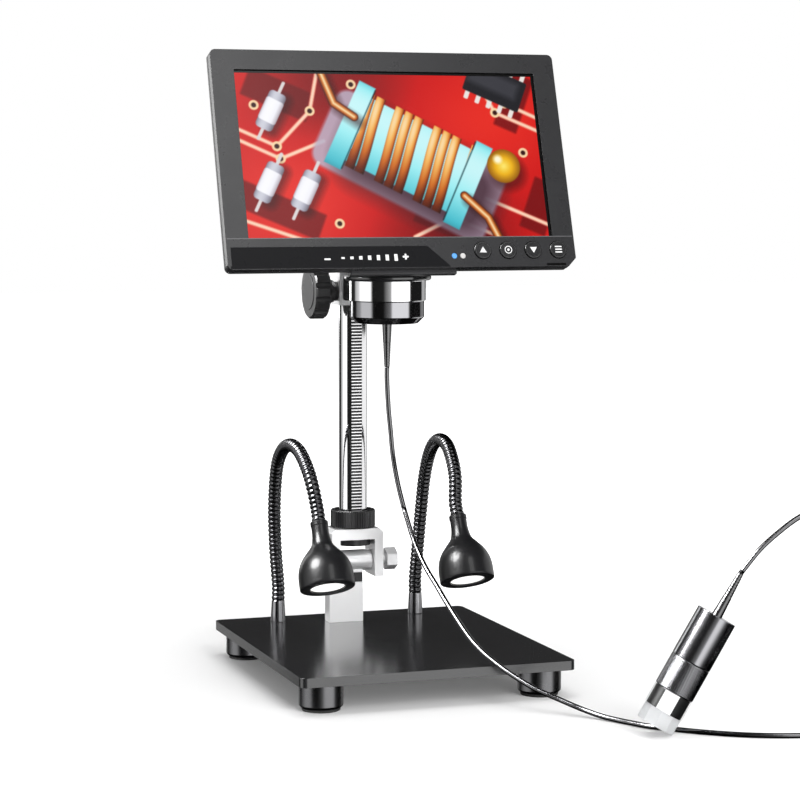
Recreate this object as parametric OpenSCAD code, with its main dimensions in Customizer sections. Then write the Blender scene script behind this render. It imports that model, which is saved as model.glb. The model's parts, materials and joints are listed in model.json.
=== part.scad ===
// Digital microscope with an LCD screen on a rack-and-pinion stand, two gooseneck lamps
// and a corded hand probe. Millimetres, +Z up, +X to the right, the front faces -Y.
// The origin is on the floor, under the optical axis of the head.

/* [Base] */
// Width of the base plate
plate_w = 196; // [170:1:230]
// Depth of the base plate
plate_d = 228; // [215:1:260]
// Thickness of the base plate
plate_t = 6.5; // [5:0.5:12]
// Corner radius of the base plate
plate_r = 5; // [2:0.5:12]
// Height of the feet, from the floor to the plate
feet_h = 19; // [14:0.5:30]
// Diameter of a foot
foot_d = 30; // [22:0.5:36]
// Distance from a foot's axis to each edge of the plate
foot_inset = 19.5; // [19:0.5:26]
// Thickness of the rubber pad under a foot
pad_t = 2; // [1:0.5:4]
// Width of the aluminium block that carries the hinge
block_w = 26; // [22:1:34]
// Depth of that block
block_d = 12; // [10:1:18]
// Height of that block above the plate
block_h = 29.5; // [20:0.5:32]

/* [Stand] */
// Distance from the optical axis back to the post
post_y = 80; // [70:1:88]
// Diameter of the post
post_d = 21; // [20:0.5:24]
// Height of the post's top above the plate
post_rise = 299.5; // [292:0.5:340]
// Width of the rack
rack_w = 8; // [6:0.5:9]
// Gear module of rack and pinion
gear_m = 0.75; // [0.75:0.05:0.8]
// Teeth on the pinion
pinion_teeth = 12; // [12:1:13]
// Height of the tilt axis above the plate
tilt_h = 45.1; // [44:0.1:50]
// Diameter of the hinge barrel
barrel_d = 15.7; // [13:0.1:17]
// Outer width of the yoke
yoke_w = 40; // [38:1:50]
// Thickness of each yoke leg
yoke_leg = 6.7; // [5:0.1:7]
// Depth of the yoke
yoke_d = 24; // [24:1:30]
// Height of the yoke's bridge
bridge_h = 8.2; // [6:0.1:12]
// Diameter of the tilt bolt
bolt_d = 8; // [6:0.5:9]
// Diameter of the knurled collar
collar_d = 33.2; // [30:0.1:38]
// Height of the knurled collar
collar_h = 13.2; // [10:0.1:20]
// Ridges of the collar's knurl
collar_ridges = 48; // [24:2:72]

/* [Carriage and head] */
// Height of the carriage's underside above the plate
carriage_rise = 236.5; // [232:0.5:246]
// Height of the carriage
carriage_h = 25; // [24:0.5:30]
// Width of the carriage
carriage_w = 34; // [34:1:44]
// Radius of a focus knob
knob_r = 20; // [15:0.5:22]
// Width of a focus knob's rim
knob_w = 11.4; // [8:0.2:14]
// Flutes around a focus knob
knob_flutes = 12; // [8:1:18]
// Distance from the optical axis to a knob's outer face
knob_face_x = 38; // [36:0.5:46]
// Thickness of the arm
arm_t = 10; // [8:0.5:12]
// Width of the arm
arm_w = 28; // [28:1:32]
// Radius of the flange at the top of the dock
flange_r = 31.3; // [30:0.1:31.6]
// Radius of the dock's upper band
dock_r = 27.5; // [26.8:0.1:29]
// Radius of the dock's lower band
cup_r = 26.4; // [22:0.1:26.6]
// Height of the dock's lower band
cup_h = 16; // [14:0.5:20]
// Height of the dock's upper band
band_h = 14.6; // [10:0.2:18]
// Wall of the dock
dock_wall = 2.4; // [1.6:0.1:4]
// Length of a cord's strain relief
relief_l = 31; // [25:1:40]

/* [Screen] */
// Width of the screen housing
screen_w = 255; // [250:1:262]
// Height of the screen housing
screen_h = 159; // [156:1:166]
// Width of the display area
display_w = 222.7; // [200:0.1:226]
// Height of the display area
display_h = 122; // [110:0.5:125]
// Height of the band below the display
band_bottom = 22.3; // [20:0.1:24]
// Depth of the front bezel
bezel_t = 6; // [5:0.5:8]
// Thickness of the housing at its edge
edge_t = 11; // [10:0.5:12]
// Full thickness of the housing
screen_t = 25; // [23:0.5:26]
// Backward tilt of the screen at rest, in degrees
screen_tilt = 18; // [16:0.5:20]
// Diameter of a push button
button_d = 12.5; // [9:0.5:13.5]
// Distance between two push buttons
button_pitch = 19; // [16:0.5:19.5]

/* [Lamps] */
// Distance between the two gooseneck sockets
ferrule_gap = 108; // [100:1:120]
// Diameter of a gooseneck over its ribs
neck_d = 10; // [8:0.2:11]
// Depth of the groove between two ribs
rib_depth = 0.6; // [0.3:0.1:1]
// Distance between two ribs along the hose
rib_pitch = 4.4; // [3.6:0.2:6]
// Diameter of a gooseneck's bore
neck_bore = 5; // [3:0.5:6]
// Diameter of a lamp head
lamp_d = 39; // [32:0.5:44]
// Length of a lamp head, from neck to rim
lamp_l = 49; // [44:0.5:56]
// Tilt of a lamp head from the vertical, in degrees
lamp_tilt = 25.5; // [20:0.5:30]
// Diameter of a lamp's lens
lens_d = 24.5; // [18:0.5:28]

/* [Probe] */
// Diameter of the hand probe
probe_d = 26.5; // [24:0.5:30]
// Length of the hand probe without its strain relief
probe_l = 80; // [76:1:90]
// Length of the probe's clear tip
tip_l = 24; // [20:0.5:26]
// Wall of the probe's clear tip
tip_wall = 1.6; // [1.2:0.1:2.4]
// Length of the knurled focus ring
ring_l = 22; // [16:0.5:26]
// Lean of the probe from the vertical, in degrees
probe_lean = 29.6; // [26:0.2:32]
// Diameter of the cord
cord_d = 3.5; // [3:0.1:3.8]

/* [Hidden] */

$fn = 64;

// Fits: a gap between two fixed pieces, one between two moving bodies, and a running fit
seat_gap = 0.1;
body_gap = 0.3;
run_gap = 0.05;
// How far a cut runs past the face that it opens
through = 1;

// Base
plate_z = feet_h;
plate_top = plate_z + plate_t;
plate_y = -1;
foot_x = plate_w / 2 - foot_inset;
foot_y = plate_d / 2 - foot_inset;
foot_bevel = 1.5;
foot_bore_d = 4.4;
foot_head_d = 9;
foot_head_z = pad_t + 4;
pad_d = foot_d - 4;
screw_d = 4;
screw_head_h = 2.4;
screw_into = 10;
block_x = -7;
block_top = plate_top + block_h;
block_screw_x = block_w / 4;

// Stand
tilt_z = plate_top + tilt_h;
fork_in = yoke_w / 2 - yoke_leg;
barrel_l = 2 * (fork_in - body_gap);
barrel_flat = barrel_d / 2 + 0.75;
saddle_top = tilt_z - barrel_flat;
saddle_d = block_d - 2;
saddle_x0 = max(block_x - block_w / 2, -barrel_l / 2);
saddle_x1 = min(block_x + block_w / 2, barrel_l / 2);
yoke_top = tilt_z + 24.9;
yoke_bottom = tilt_z - 11.1;
yoke_chamfer = 3;
bolt_bore = bolt_d + 2 * run_gap;
washer_t = 2;
washer_d = bolt_d * 1.7;
bolt_head_af = bolt_d * 1.85;
bolt_neck = 2.2;
bolt_head_l = 8.6;
nut_l = 6.5;
bolt_x0 = -yoke_w / 2 - nut_l - 2;
bolt_head_x = yoke_w / 2 + washer_t + body_gap + bolt_neck;
collar_z = yoke_top + body_gap;
collar_bore_r = post_d / 2 + run_gap;
collar_rim_d = post_d + 7;
post_top = plate_top + post_rise;
post_bottom = yoke_top - bridge_h;
post_nut_h = 4.6;
post_nut_r = fork_in - body_gap;
gear_pitch = PI * gear_m;
rack_depth = sqrt(pow(post_d / 2, 2) - pow(rack_w / 2, 2)) - 0.06;
rack_addendum = 0.5;
rack_dedendum = 0.95;
rack_back = rack_depth - 4.15;
rack_z0 = yoke_top + 6;
rack_z1 = post_top - 3;
groove_w = rack_w + 2 * seat_gap;
tooth_slack = 0.1;
pressure_angle = 20;
pinion_r = gear_m * pinion_teeth / 2;
pinion_tip = pinion_r + gear_m;
pinion_root = pinion_r - gear_m;
pinion_y = post_y - rack_depth + rack_addendum - pinion_r;
cap_t = 5;
cap_plug_d = 10;
cap_plug_l = 8;

// Carriage and head
carriage_z = plate_top + carriage_rise;
pinion_z = carriage_z + 10;
shaft_d = 6;
chamber_r = pinion_tip + 0.75;
chamber_x = rack_w / 2 + 5.2;
carriage_y0 = pinion_y - chamber_r - 2.6;
carriage_y1 = post_y + post_d / 2 + 6.5;
carriage_top = carriage_z + carriage_h;
liner_r = post_d / 2 + 1.5;
bush_d = 10;
bush_flange_d = 14;
bush_flange_t = 2.5;
knob_hub_r = 8;
knob_hub_x = carriage_w / 2 + bush_flange_t + body_gap;
knob_in_x = knob_face_x - knob_w;
knob_cap_r = 13;
knob_cap_t = 1.6;
knob_stub = 4;
arm_z = carriage_top;
arm_y0 = 14;
arm_y1 = carriage_y1 - 1;
arm_hole_r = post_d / 2 + 2;
arm_screw_x = 10;
arm_screws_y = [carriage_y0 + 4.5, carriage_y1 - 5];
dock_z = carriage_z - 10;
cup_top = dock_z + cup_h;
cup_chamfer = 4.5;
band_top = cup_top + band_h;
flange_t = 3;
flange_top = band_top + flange_t;
relief_r0 = 3.5;
relief_r1 = cord_d / 2 + 0.3;
relief_seat = 3;
housing_r = 27;
housing_y0 = 3;
housing_h = 25;
housing_wall = 3;

// Screen: its own frame has X along its width, Y into its depth and Z up its front face
foot_rise = 30.5;
screen_foot = [0, -43.2, carriage_z + foot_rise];
hinge_local = [0, 32.1, 21.5];
hinge_y = screen_foot[1] + hinge_local[2] * sin(screen_tilt) + hinge_local[1] * cos(screen_tilt);
hinge_z = screen_foot[2] + hinge_local[2] * cos(screen_tilt) - hinge_local[1] * sin(screen_tilt);
knuckle_r = 6;
pin_d = 5;
knuckle_w = 30;
ear_w = 6;
bracket_plate_t = 2;
bulge_inset_x = 22.5;
bulge_z0 = 8;
bulge_z1 = screen_h - 13;
bulge_slope = 8;
cover_wall = 2.2;
chin_w = 78;
chin_drop = 3;
bezel_lip = 1.5;
corner_cut = 6;
panel_t = 4;
panel_margin = 1.5;
board_w = 90;
board_h = 60;
board_t = 1.6;
board_x = -70;
board_y = edge_t + 2;
board_z = bulge_z1 - board_h - 14;
battery_w = 55;
battery_h = 70;
battery_t = 9;
battery_x = 30;
battery_z = bulge_z1 - battery_h - 24;
strip_t = 0.6;
strip_z0 = 2.5;
strip_z1 = 15.7;
strip_x0 = -screen_w / 2 + 3;
strip_x1_top = 16.5;
strip_x1_low = 31;
button_edge = 13.1;
button_x0 = screen_w / 2 - button_edge - 3 * button_pitch;
button_z = 12.1;
button_gap = 0.3;
button_proud = 1.2;
button_flange_d = button_d + 2.5;
button_flange_t = 1.2;
button_front_t = 2.2;
light_xs = [36.1, 42.4];
light_z = 8.4;
light_d = 4;

// Lamps: the right-hand gooseneck's centreline, as steps from its foot on top of its ferrule
ferrule_h = 16;
neck_foot = [ferrule_gap / 2, post_y + 14, plate_top + ferrule_h];
neck_reach = 98;
neck_rise = 71.5;
neck_end = neck_foot + [-2, -neck_reach, neck_rise];
ferrule_d0 = neck_d + 1.2;
ferrule_d1 = neck_d - 0.4;
ferrule_stud_d = 8;
nut_h = 5;
neck_steps = [[0, 0, 0], [0, 0, 12], [2, -0.5, 36.5], [3.6, -3, 63.5], [4.3, -8, 86.5],
    [4.7, -16.5, 104.5], [4.3, -30, 116], [3.5, -47, 120.5], [2.5, -64, 118], [1.3, -78, 109],
    [0, -88, 97]];
neck_route = concat([for (p = neck_steps) neck_foot + p],
    [neck_end + 10 * [0, sin(lamp_tilt), cos(lamp_tilt)], neck_end]);
lamp_neck_d = 12;
lamp_neck_l = 13;
lamp_wall = 1.8;
lamp_rim_w = 3;
lens_t = 3;

// Probe
probe_tip_at = [100.8, -236.5, probe_d / 2 * sin(probe_lean) + 0.35];
probe_heading = -12.6;
grip_l = probe_l - tip_l - ring_l;
probe_wall = 1.8;
ring_wall = 3;
ring_ridges = 40;
neck_r = probe_d / 2 - ring_wall - run_gap;

// Cord: hand-chosen points, first down from the dock, then along the floor and up to the probe
cord_floor_z = 1.9;
upper_route = [[0, 0, 221], [0, 0, 212], [0.3, -0.8, 200], [0.8, -1.8, 188], [1.6, -3.2, 176],
    [2.3, -6.5, 158], [3.6, -13, 139.5], [5.6, -21, 122]];
lower_route = [[5.6, -21, 122], [8.1, -34, 102], [11.2, -48, 86], [15.8, -63, 72],
    [20, -79, 58.5], [25.5, -97, 44], [30.5, -109, 35.5], [36, -119, 29.5], [41.5, -128, 24.5],
    [47.5, -136.5, 20], [53.5, -144.5, 16], [60, -152, 12.8], [66.5, -159, 10],
    [73, -166.5, 7.2], [79.5, -174, 4.6], [86.5, -184, 2.5], [93, -196, 1.9],
    [99, -208, 1.9], [105, -219, 1.9], [114.5, -229.5, 1.9], [125.5, -240.5, 1.9],
    [137.5, -250.5, 1.9], [151.5, -260, 1.9], [167, -267.5, 1.9], [184, -273, 1.9],
    [202, -276, 1.9], [212, -276.5, 1.9], [222, -276.5, 1.9]];
lead_route = [[230, -276.5, 10.1], [239, -276.5, 10.7], [249, -275.5, 14], [259, -272.5, 22],
    [266, -267, 36], [269, -260, 55], [269, -253, 76], [265, -248, 98], [257, -246, 118],
    [245, -246, 134], [230, -247, 143.5], [213, -248, 143.5], [196, -248, 137.4],
    [182, -248, 128.8], [168, -248.2, 118]];
coil_centre = [226, -256.5];
coil_r = 20;
coil_turns = 2;
coil_pitch = 4.1;
// Points in one turn of the coil, and its straight length at each end
coil_steps = 24;
coil_straight = 4;

// ---------- helpers ----------

function unit(v) = v / norm(v);

// One point of a Catmull-Rom curve through four points, at share t of the middle span
function spline_at(a, b, c, d, t) =
    0.5 * (2 * b + (c - a) * t + (2 * a - 5 * b + 4 * c - d) * t * t
        + (3 * b - a - 3 * c + d) * t * t * t);

function route_end(r, i) =
    i < 0 ? 2 * r[0] - r[1] : i >= len(r) ? 2 * r[len(r) - 1] - r[len(r) - 2] : r[i];

// A smooth curve through the points of route r, with n steps in each span
function smooth(r, n) = concat(
    [for (i = [0:len(r) - 2], k = [0:n - 1])
        spline_at(route_end(r, i - 1), r[i], r[i + 1], route_end(r, i + 2), k / n)],
    [r[len(r) - 1]]);

function run_length(p) = len(p) < 2 ? [0] :
    [for (i = 0, s = 0; i < len(p); i = i + 1, s = s + (i < len(p) ? norm(p[i] - p[i - 1]) : 0)) s];

// The point at distance s along the points p, whose running lengths are l
function at_length(p, l, s, i = 0) =
    i >= len(p) - 2 || s <= l[i + 1]
        ? p[i] + (p[i + 1] - p[i]) * (s - l[i]) / max(l[i + 1] - l[i], 0.001)
        : at_length(p, l, s, i + 1);

// n + 1 points evenly spaced along a smooth curve through route r
function even(r, n) =
    let (p = smooth(r, 8), l = run_length(p), total = l[len(l) - 1])
    [for (k = [0:n]) at_length(p, l, total * k / n)];

function tangents(p) = [for (i = [0:len(p) - 1])
    unit(p[min(i + 1, len(p) - 1)] - p[max(i - 1, 0)])];

// Unit vectors square to the tangents t, carried along the curve without twist
function sides(t, first) = [for (
    i = 0, u = unit(first - (first * t[0]) * t[0]);
    i < len(t);
    i = i + 1, u = i < len(t) ? unit(u - (u * t[i]) * t[i]) : u) u];

// Rings of n points around the centres p, with the radii r
function rings(p, r, n, t, u) = [for (i = [0:len(p) - 1], k = [0:n - 1])
    p[i] + r[i] * (cos(360 * (k + 0.5) / n) * u[i] + sin(360 * (k + 0.5) / n) * cross(t[i], u[i]))];

// Triangles that join m rings of n points each, from point index from on; flip turns them over
function skin(m, n, from, flip) = [for (i = [0:m - 2], k = [0:n - 1], half = [0, 1])
    let (a = from + i * n + k, b = from + i * n + (k + 1) % n, c = a + n, d = b + n,
        f = half == 0 ? [a, c, b] : [b, c, d])
    flip ? [f[2], f[1], f[0]] : f];

// A closed tube around the points p, with one radius a point
module swept(p, r, n, first, t0 = undef, t1 = undef) {
    last = len(p) - 1;
    ts = [for (i = [0:last])
        i == 0 && !is_undef(t0) ? t0 : i == last && !is_undef(t1) ? t1 : tangents(p)[i]];
    us = sides(ts, first);
    foot = [for (k = [1:n - 2]) [0, k, k + 1]];
    top = [for (k = [1:n - 2]) [last * n, last * n + k + 1, last * n + k]];
    polyhedron(rings(p, r, n, ts, us), concat(skin(last + 1, n, 0, false), foot, top));
}

// A hose around the points p with ribs outside and a plain bore inside
module hose(p, r_out, bore_r, n, first, t0, t1) {
    last = len(p) - 1;
    ts = [for (i = [0:last]) i == 0 ? t0 : i == last ? t1 : tangents(p)[i]];
    us = sides(ts, first);
    inner = [for (i = [0:last]) if (i % 2 == 0 || i == last) i];
    m = len(inner);
    shift = (last + 1) * n;
    pts = concat(
        rings(p, r_out, n, ts, us),
        rings([for (i = inner) p[i]], [for (i = inner) bore_r], n,
            [for (i = inner) ts[i]], [for (i = inner) us[i]]));
    start = [for (k = [0:n - 1], half = [0, 1])
        let (a = k, b = (k + 1) % n, c = shift + k, d = shift + b)
        half == 0 ? [a, b, c] : [b, d, c]];
    finish = [for (k = [0:n - 1], half = [0, 1])
        let (a = last * n + k, b = last * n + (k + 1) % n,
            c = shift + (m - 1) * n + k, d = shift + (m - 1) * n + (k + 1) % n)
        half == 0 ? [a, c, b] : [b, c, d]];
    polyhedron(pts, concat(skin(last + 1, n, 0, false), skin(m, n, shift, true), start, finish));
}

// A rectangle with round corners, centred
module round_rect(w, h, r) {
    square([w - 2 * r, h], center = true);
    square([w, h - 2 * r], center = true);
    for (x = [-1, 1], y = [-1, 1])
        translate([x * (w / 2 - r), y * (h / 2 - r)]) circle(r);
}

// A cylinder along X from x0 to x1
module bar_x(x0, x1, r, y, z) {
    translate([x0, y, z]) rotate([0, 90, 0]) cylinder(r = r, h = x1 - x0);
}

// Children in the frame of the tilted screen
module on_screen() {
    translate(screen_foot) rotate([-screen_tilt, 0, 0]) children();
}

// Children in the frame of a lamp, with Z from the lens back to the neck's end
module on_lamp(side) {
    translate([side * neck_end[0], neck_end[1], neck_end[2]])
        rotate([-lamp_tilt, 0, 0]) translate([0, 0, -lamp_l]) children();
}

// Children in the frame of the probe, with Z from its tip along its length
module on_probe() {
    translate(probe_tip_at) rotate([0, probe_lean, probe_heading]) children();
}

module at_feet() {
    for (x = [-1, 1], y = [-1, 1]) translate([x * foot_x, plate_y + y * foot_y, 0]) children();
}

module at_block_screws() {
    for (x = [-1, 1]) translate([block_x + x * block_screw_x, post_y, 0]) children();
}

module at_ferrules() {
    for (x = [-1, 1]) translate([x * neck_foot[0], neck_foot[1], 0]) children();
}

// ---------- base ----------

module base_plate() color([0.05, 0.05, 0.055]) difference() {
    translate([0, plate_y, plate_z]) linear_extrude(plate_t)
        round_rect(plate_w, plate_d, plate_r);
    at_feet() translate([0, 0, plate_z - through])
        cylinder(d = screw_d, h = 1 + through + plate_t / 2);
    at_block_screws() translate([0, 0, plate_z - through]) {
        cylinder(d = foot_bore_d, h = plate_t + 2 * through);
        cylinder(d = foot_head_d, h = screw_head_h + through);
    }
    at_ferrules() translate([0, 0, plate_z - through])
        cylinder(d = ferrule_stud_d + 2 * seat_gap, h = plate_t + 2 * through);
}

module feet() color([0.09, 0.09, 0.1]) at_feet() difference() {
    rotate_extrude() polygon([[0, pad_t], [foot_d / 2 - foot_bevel, pad_t],
        [foot_d / 2, pad_t + foot_bevel], [foot_d / 2, feet_h], [0, feet_h]]);
    translate([0, 0, pad_t - through]) cylinder(d = foot_bore_d, h = feet_h);
    translate([0, 0, pad_t - through]) cylinder(d = foot_head_d, h = foot_head_z - pad_t + through);
}

module foot_pads() color([0.13, 0.13, 0.13]) at_feet() difference() {
    cylinder(d = pad_d, h = pad_t);
    translate([0, 0, -through]) cylinder(d = foot_head_d, h = pad_t + 2 * through);
}

// Screws that hold the feet, and the two that hold the column block
module base_screws() color([0.75, 0.75, 0.77]) {
    at_feet() {
        translate([0, 0, foot_head_z - screw_head_h])
            cylinder(d = foot_head_d - 1, h = screw_head_h);
        translate([0, 0, foot_head_z - screw_head_h])
            cylinder(d = screw_d, h = feet_h - foot_head_z + screw_head_h + plate_t / 2);
    }
    at_block_screws() {
        translate([0, 0, plate_z + 0.1]) cylinder(d = foot_head_d - 1, h = screw_head_h - 0.1);
        translate([0, 0, plate_z + 0.1]) cylinder(d = screw_d, h = plate_t + screw_into);
    }
}

module column_block() color([0.82, 0.82, 0.84]) difference() {
    translate([block_x - block_w / 2, post_y - block_d / 2, plate_top])
        cube([block_w, block_d, block_h]);
    at_block_screws() translate([0, 0, plate_top - through])
        cylinder(d = screw_d, h = screw_into + 2 * through);
}

module barrel_saddle() color([0.06, 0.06, 0.06])
    translate([saddle_x0, post_y - saddle_d / 2, block_top])
        cube([saddle_x1 - saddle_x0, saddle_d, saddle_top - block_top]);

module hinge_barrel() color([0.85, 0.85, 0.86]) difference() {
    union() {
        bar_x(-barrel_l / 2, barrel_l / 2, barrel_d / 2, post_y, tilt_z);
        translate([saddle_x0, post_y - saddle_d / 2, saddle_top])
            cube([saddle_x1 - saddle_x0, saddle_d, barrel_flat]);
    }
    bar_x(-barrel_l, barrel_l, bolt_bore / 2, post_y, tilt_z);
}

module gooseneck_ferrules() color([0.2, 0.2, 0.22]) at_ferrules() difference() {
    union() {
        translate([0, 0, plate_top])
            cylinder(d1 = ferrule_d0, d2 = ferrule_d1, h = ferrule_h);
        translate([0, 0, plate_z - nut_h - 1])
            cylinder(d = ferrule_stud_d, h = plate_t + nut_h + 1 + through);
    }
    translate([0, 0, plate_z - nut_h - 2])
        cylinder(d = neck_bore, h = ferrule_h + plate_t + nut_h + 2 + through);
}

module ferrule_nuts() color([0.7, 0.7, 0.72]) at_ferrules() difference() {
    translate([0, 0, plate_z - nut_h]) cylinder(d = 15, h = nut_h, $fn = 6);
    translate([0, 0, plate_z - nut_h - through])
        cylinder(d = ferrule_stud_d + 2 * seat_gap, h = nut_h + 2 * through);
}

// ---------- goosenecks ----------

function mirror_x(r) = [for (p = r) [-p[0], p[1], p[2]]];

// Two points a rib: the crest and the groove behind it
function neck_points(r) =
    let (p = smooth(r, 8), l = run_length(p), ribs = round(l[len(l) - 1] / rib_pitch))
    even(r, 2 * ribs);

function neck_radii(n) = [for (i = [0:n - 1])
    i == 0 || i == n - 1 || i % 2 == 0 ? neck_d / 2 - rib_depth : neck_d / 2];

module gooseneck(route) {
    p = neck_points(route);
    hose(p, neck_radii(len(p)), neck_bore / 2, 8, [1, 0, 0],
        [0, 0, 1], [0, -sin(lamp_tilt), -cos(lamp_tilt)]);
}

module left_gooseneck() color([0.16, 0.16, 0.17]) gooseneck(mirror_x(neck_route));

module right_gooseneck() color([0.16, 0.16, 0.17]) gooseneck(neck_route);

// ---------- stand ----------

module yoke() color([0.84, 0.84, 0.86]) difference() {
    translate([0, post_y + yoke_d / 2, 0]) rotate([90, 0, 0]) linear_extrude(yoke_d) polygon([
        [-yoke_w / 2, yoke_bottom], [-fork_in, yoke_bottom], [-fork_in, yoke_top - bridge_h],
        [fork_in, yoke_top - bridge_h], [fork_in, yoke_bottom], [yoke_w / 2, yoke_bottom],
        [yoke_w / 2, yoke_top - yoke_chamfer], [yoke_w / 2 - yoke_chamfer, yoke_top],
        [-yoke_w / 2 + yoke_chamfer, yoke_top], [-yoke_w / 2, yoke_top - yoke_chamfer]]);
    bar_x(-yoke_w, yoke_w, bolt_bore / 2, post_y, tilt_z);
    translate([0, post_y, yoke_top - bridge_h - through])
        cylinder(r = collar_bore_r, h = bridge_h + 2 * through);
}

module post() color([0.8, 0.8, 0.82]) difference() {
    union() {
        translate([0, post_y, post_bottom - through])
            cylinder(d = post_d, h = post_top - post_bottom + through);
        translate([0, post_y, post_bottom - post_nut_h]) cylinder(r = post_nut_r, h = post_nut_h);
    }
    translate([-groove_w / 2, post_y - post_d, rack_z0 - seat_gap])
        cube([groove_w, post_d - rack_back, post_top - rack_z0 + 2 * through]);
    translate([0, post_y, post_top - cap_plug_l - 0.5])
        cylinder(d = cap_plug_d, h = cap_plug_l + through);
}

// The rack's tooth gaps are centred on the pinion's height, so that a pinion tooth lies there
rack_teeth_below = floor((pinion_z - rack_z0 - gear_pitch) / gear_pitch);
rack_teeth_above = floor((rack_z1 - pinion_z - gear_pitch) / gear_pitch);

function rack_flank(h) = h * tan(pressure_angle);

// Half the width of a rack tooth at its tip and at its root
tooth_tip = gear_pitch / 4 - tooth_slack / 2 - rack_flank(rack_addendum);
tooth_root = gear_pitch / 4 - tooth_slack / 2 + rack_flank(rack_dedendum);

// Outline of the rack: X is the distance in front of the post's axis, Y the height
rack_outline = concat(
    [[rack_back, rack_z0], [rack_depth - rack_addendum - rack_dedendum, rack_z0]],
    [for (i = [-rack_teeth_below:rack_teeth_above], s = [-1, 1])
        let (z = pinion_z + (i + 0.5) * gear_pitch)
        each s < 0
            ? [[rack_depth - rack_addendum - rack_dedendum, z - tooth_root],
                [rack_depth, z - tooth_tip]]
            : [[rack_depth, z + tooth_tip],
                [rack_depth - rack_addendum - rack_dedendum, z + tooth_root]]],
    [[rack_depth - rack_addendum - rack_dedendum, rack_z1], [rack_back, rack_z1]]);

module rack() color([0.72, 0.72, 0.74])
    translate([rack_w / 2, post_y, 0]) rotate([90, 0, -90])
        linear_extrude(rack_w) polygon(rack_outline);

module post_cap() color([0.06, 0.06, 0.06]) translate([0, post_y, post_top]) {
    cylinder(d = post_d, h = cap_t);
    translate([0, 0, -cap_plug_l]) cylinder(d = cap_plug_d - 2 * seat_gap, h = cap_plug_l + 1);
}

module lock_collar() color([0.07, 0.07, 0.08]) difference() {
    translate([0, post_y, collar_z]) linear_extrude(collar_h)
        polygon([for (i = [0:2 * collar_ridges - 1])
            (collar_d / 2 - (i % 2) * 0.6) * [cos(180 * i / collar_ridges),
                sin(180 * i / collar_ridges)]]);
    translate([0, post_y, collar_z - through])
        cylinder(r = collar_bore_r, h = collar_h + 2 * through);
    translate([0, post_y, collar_z + collar_h - 1.5]) cylinder(d = collar_rim_d, h = 2 * through);
}

module tilt_washer() color([0.1, 0.1, 0.1]) difference() {
    bar_x(yoke_w / 2, yoke_w / 2 + washer_t, washer_d / 2, post_y, tilt_z);
    bar_x(0, yoke_w, bolt_bore / 2, post_y, tilt_z);
}

module tilt_nut() color([0.78, 0.78, 0.8]) difference() {
    translate([-yoke_w / 2 - nut_l, post_y, tilt_z]) rotate([0, 90, 0])
        cylinder(d = bolt_head_af / cos(30), h = nut_l, $fn = 6);
    bar_x(-yoke_w, 0, bolt_bore / 2, post_y, tilt_z);
}

module tilt_bolt() color([0.8, 0.8, 0.82]) {
    bar_x(bolt_x0, bolt_head_x + 1, bolt_d / 2, post_y, tilt_z);
    translate([bolt_head_x, post_y, tilt_z]) rotate([0, 90, 0])
        cylinder(d = bolt_head_af / cos(30), h = bolt_head_l, $fn = 6);
}

// ---------- carriage ----------

module carriage_block() color([0.78, 0.78, 0.8]) difference() {
    translate([-carriage_w / 2, carriage_y0, carriage_z])
        cube([carriage_w, carriage_y1 - carriage_y0, carriage_h]);
    translate([0, post_y, carriage_z - through])
        cylinder(r = liner_r + seat_gap / 2, h = carriage_h + 2 * through);
    bar_x(-chamber_x, chamber_x, chamber_r, pinion_y, pinion_z);
    bar_x(-carriage_w, carriage_w, bush_d / 2 + seat_gap / 2, pinion_y, pinion_z);
    for (x = [-1, 1], y = arm_screws_y) translate([x * arm_screw_x, y, carriage_top - 7])
        cylinder(d = 3, h = 7 + through);
}

module bearing_liner() color([0.75, 0.6, 0.3]) difference() {
    translate([0, post_y, carriage_z]) cylinder(r = liner_r, h = carriage_h);
    translate([0, post_y, carriage_z - through])
        cylinder(d = post_d + 2 * run_gap, h = carriage_h + 2 * through);
    bar_x(-chamber_x, chamber_x, chamber_r, pinion_y, pinion_z);
    bar_x(-carriage_w, carriage_w, bush_d / 2 + 3 * seat_gap, pinion_y, pinion_z);
}

module pinion_bushes() color([0.08, 0.08, 0.08]) for (x = [0, 1]) mirror([x, 0, 0]) difference() {
    union() {
        bar_x(chamber_x, carriage_w / 2 + 1, bush_d / 2, pinion_y, pinion_z);
        bar_x(carriage_w / 2, carriage_w / 2 + bush_flange_t, bush_flange_d / 2,
            pinion_y, pinion_z);
    }
    bar_x(0, carriage_w, shaft_d / 2 + run_gap, pinion_y, pinion_z);
}

module arm_screws() color([0.7, 0.7, 0.72]) for (x = [-1, 1], y = arm_screws_y)
    translate([x * arm_screw_x, y, 0]) {
        translate([0, 0, carriage_top - 6]) cylinder(d = 3, h = arm_t + 6);
        translate([0, 0, arm_z + arm_t]) cylinder(d = 5.5, h = 2.5);
    }

module head_arm() color([0.07, 0.07, 0.08]) difference() {
    translate([-arm_w / 2, arm_y0, arm_z]) cube([arm_w, arm_y1 - arm_y0, arm_t]);
    translate([0, post_y, arm_z - through]) cylinder(r = arm_hole_r, h = arm_t + 2 * through);
    for (x = [-1, 1], y = arm_screws_y) translate([x * arm_screw_x, y, arm_z - through])
        cylinder(d = 3 + 2 * seat_gap, h = arm_t + 2 * through);
}

module pinion_shaft() color([0.75, 0.75, 0.77]) {
    bar_x(-knob_face_x + knob_stub, knob_face_x - knob_stub, shaft_d / 2, pinion_y, pinion_z);
    translate([-rack_w / 2, pinion_y, pinion_z]) rotate([90, 0, 90])
        linear_extrude(rack_w) pinion_outline();
}

function involute_angle(r, base_r) =
    let (a = sqrt(max(pow(r / base_r, 2) - 1, 0))) a * 180 / PI - atan(a);

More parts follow.
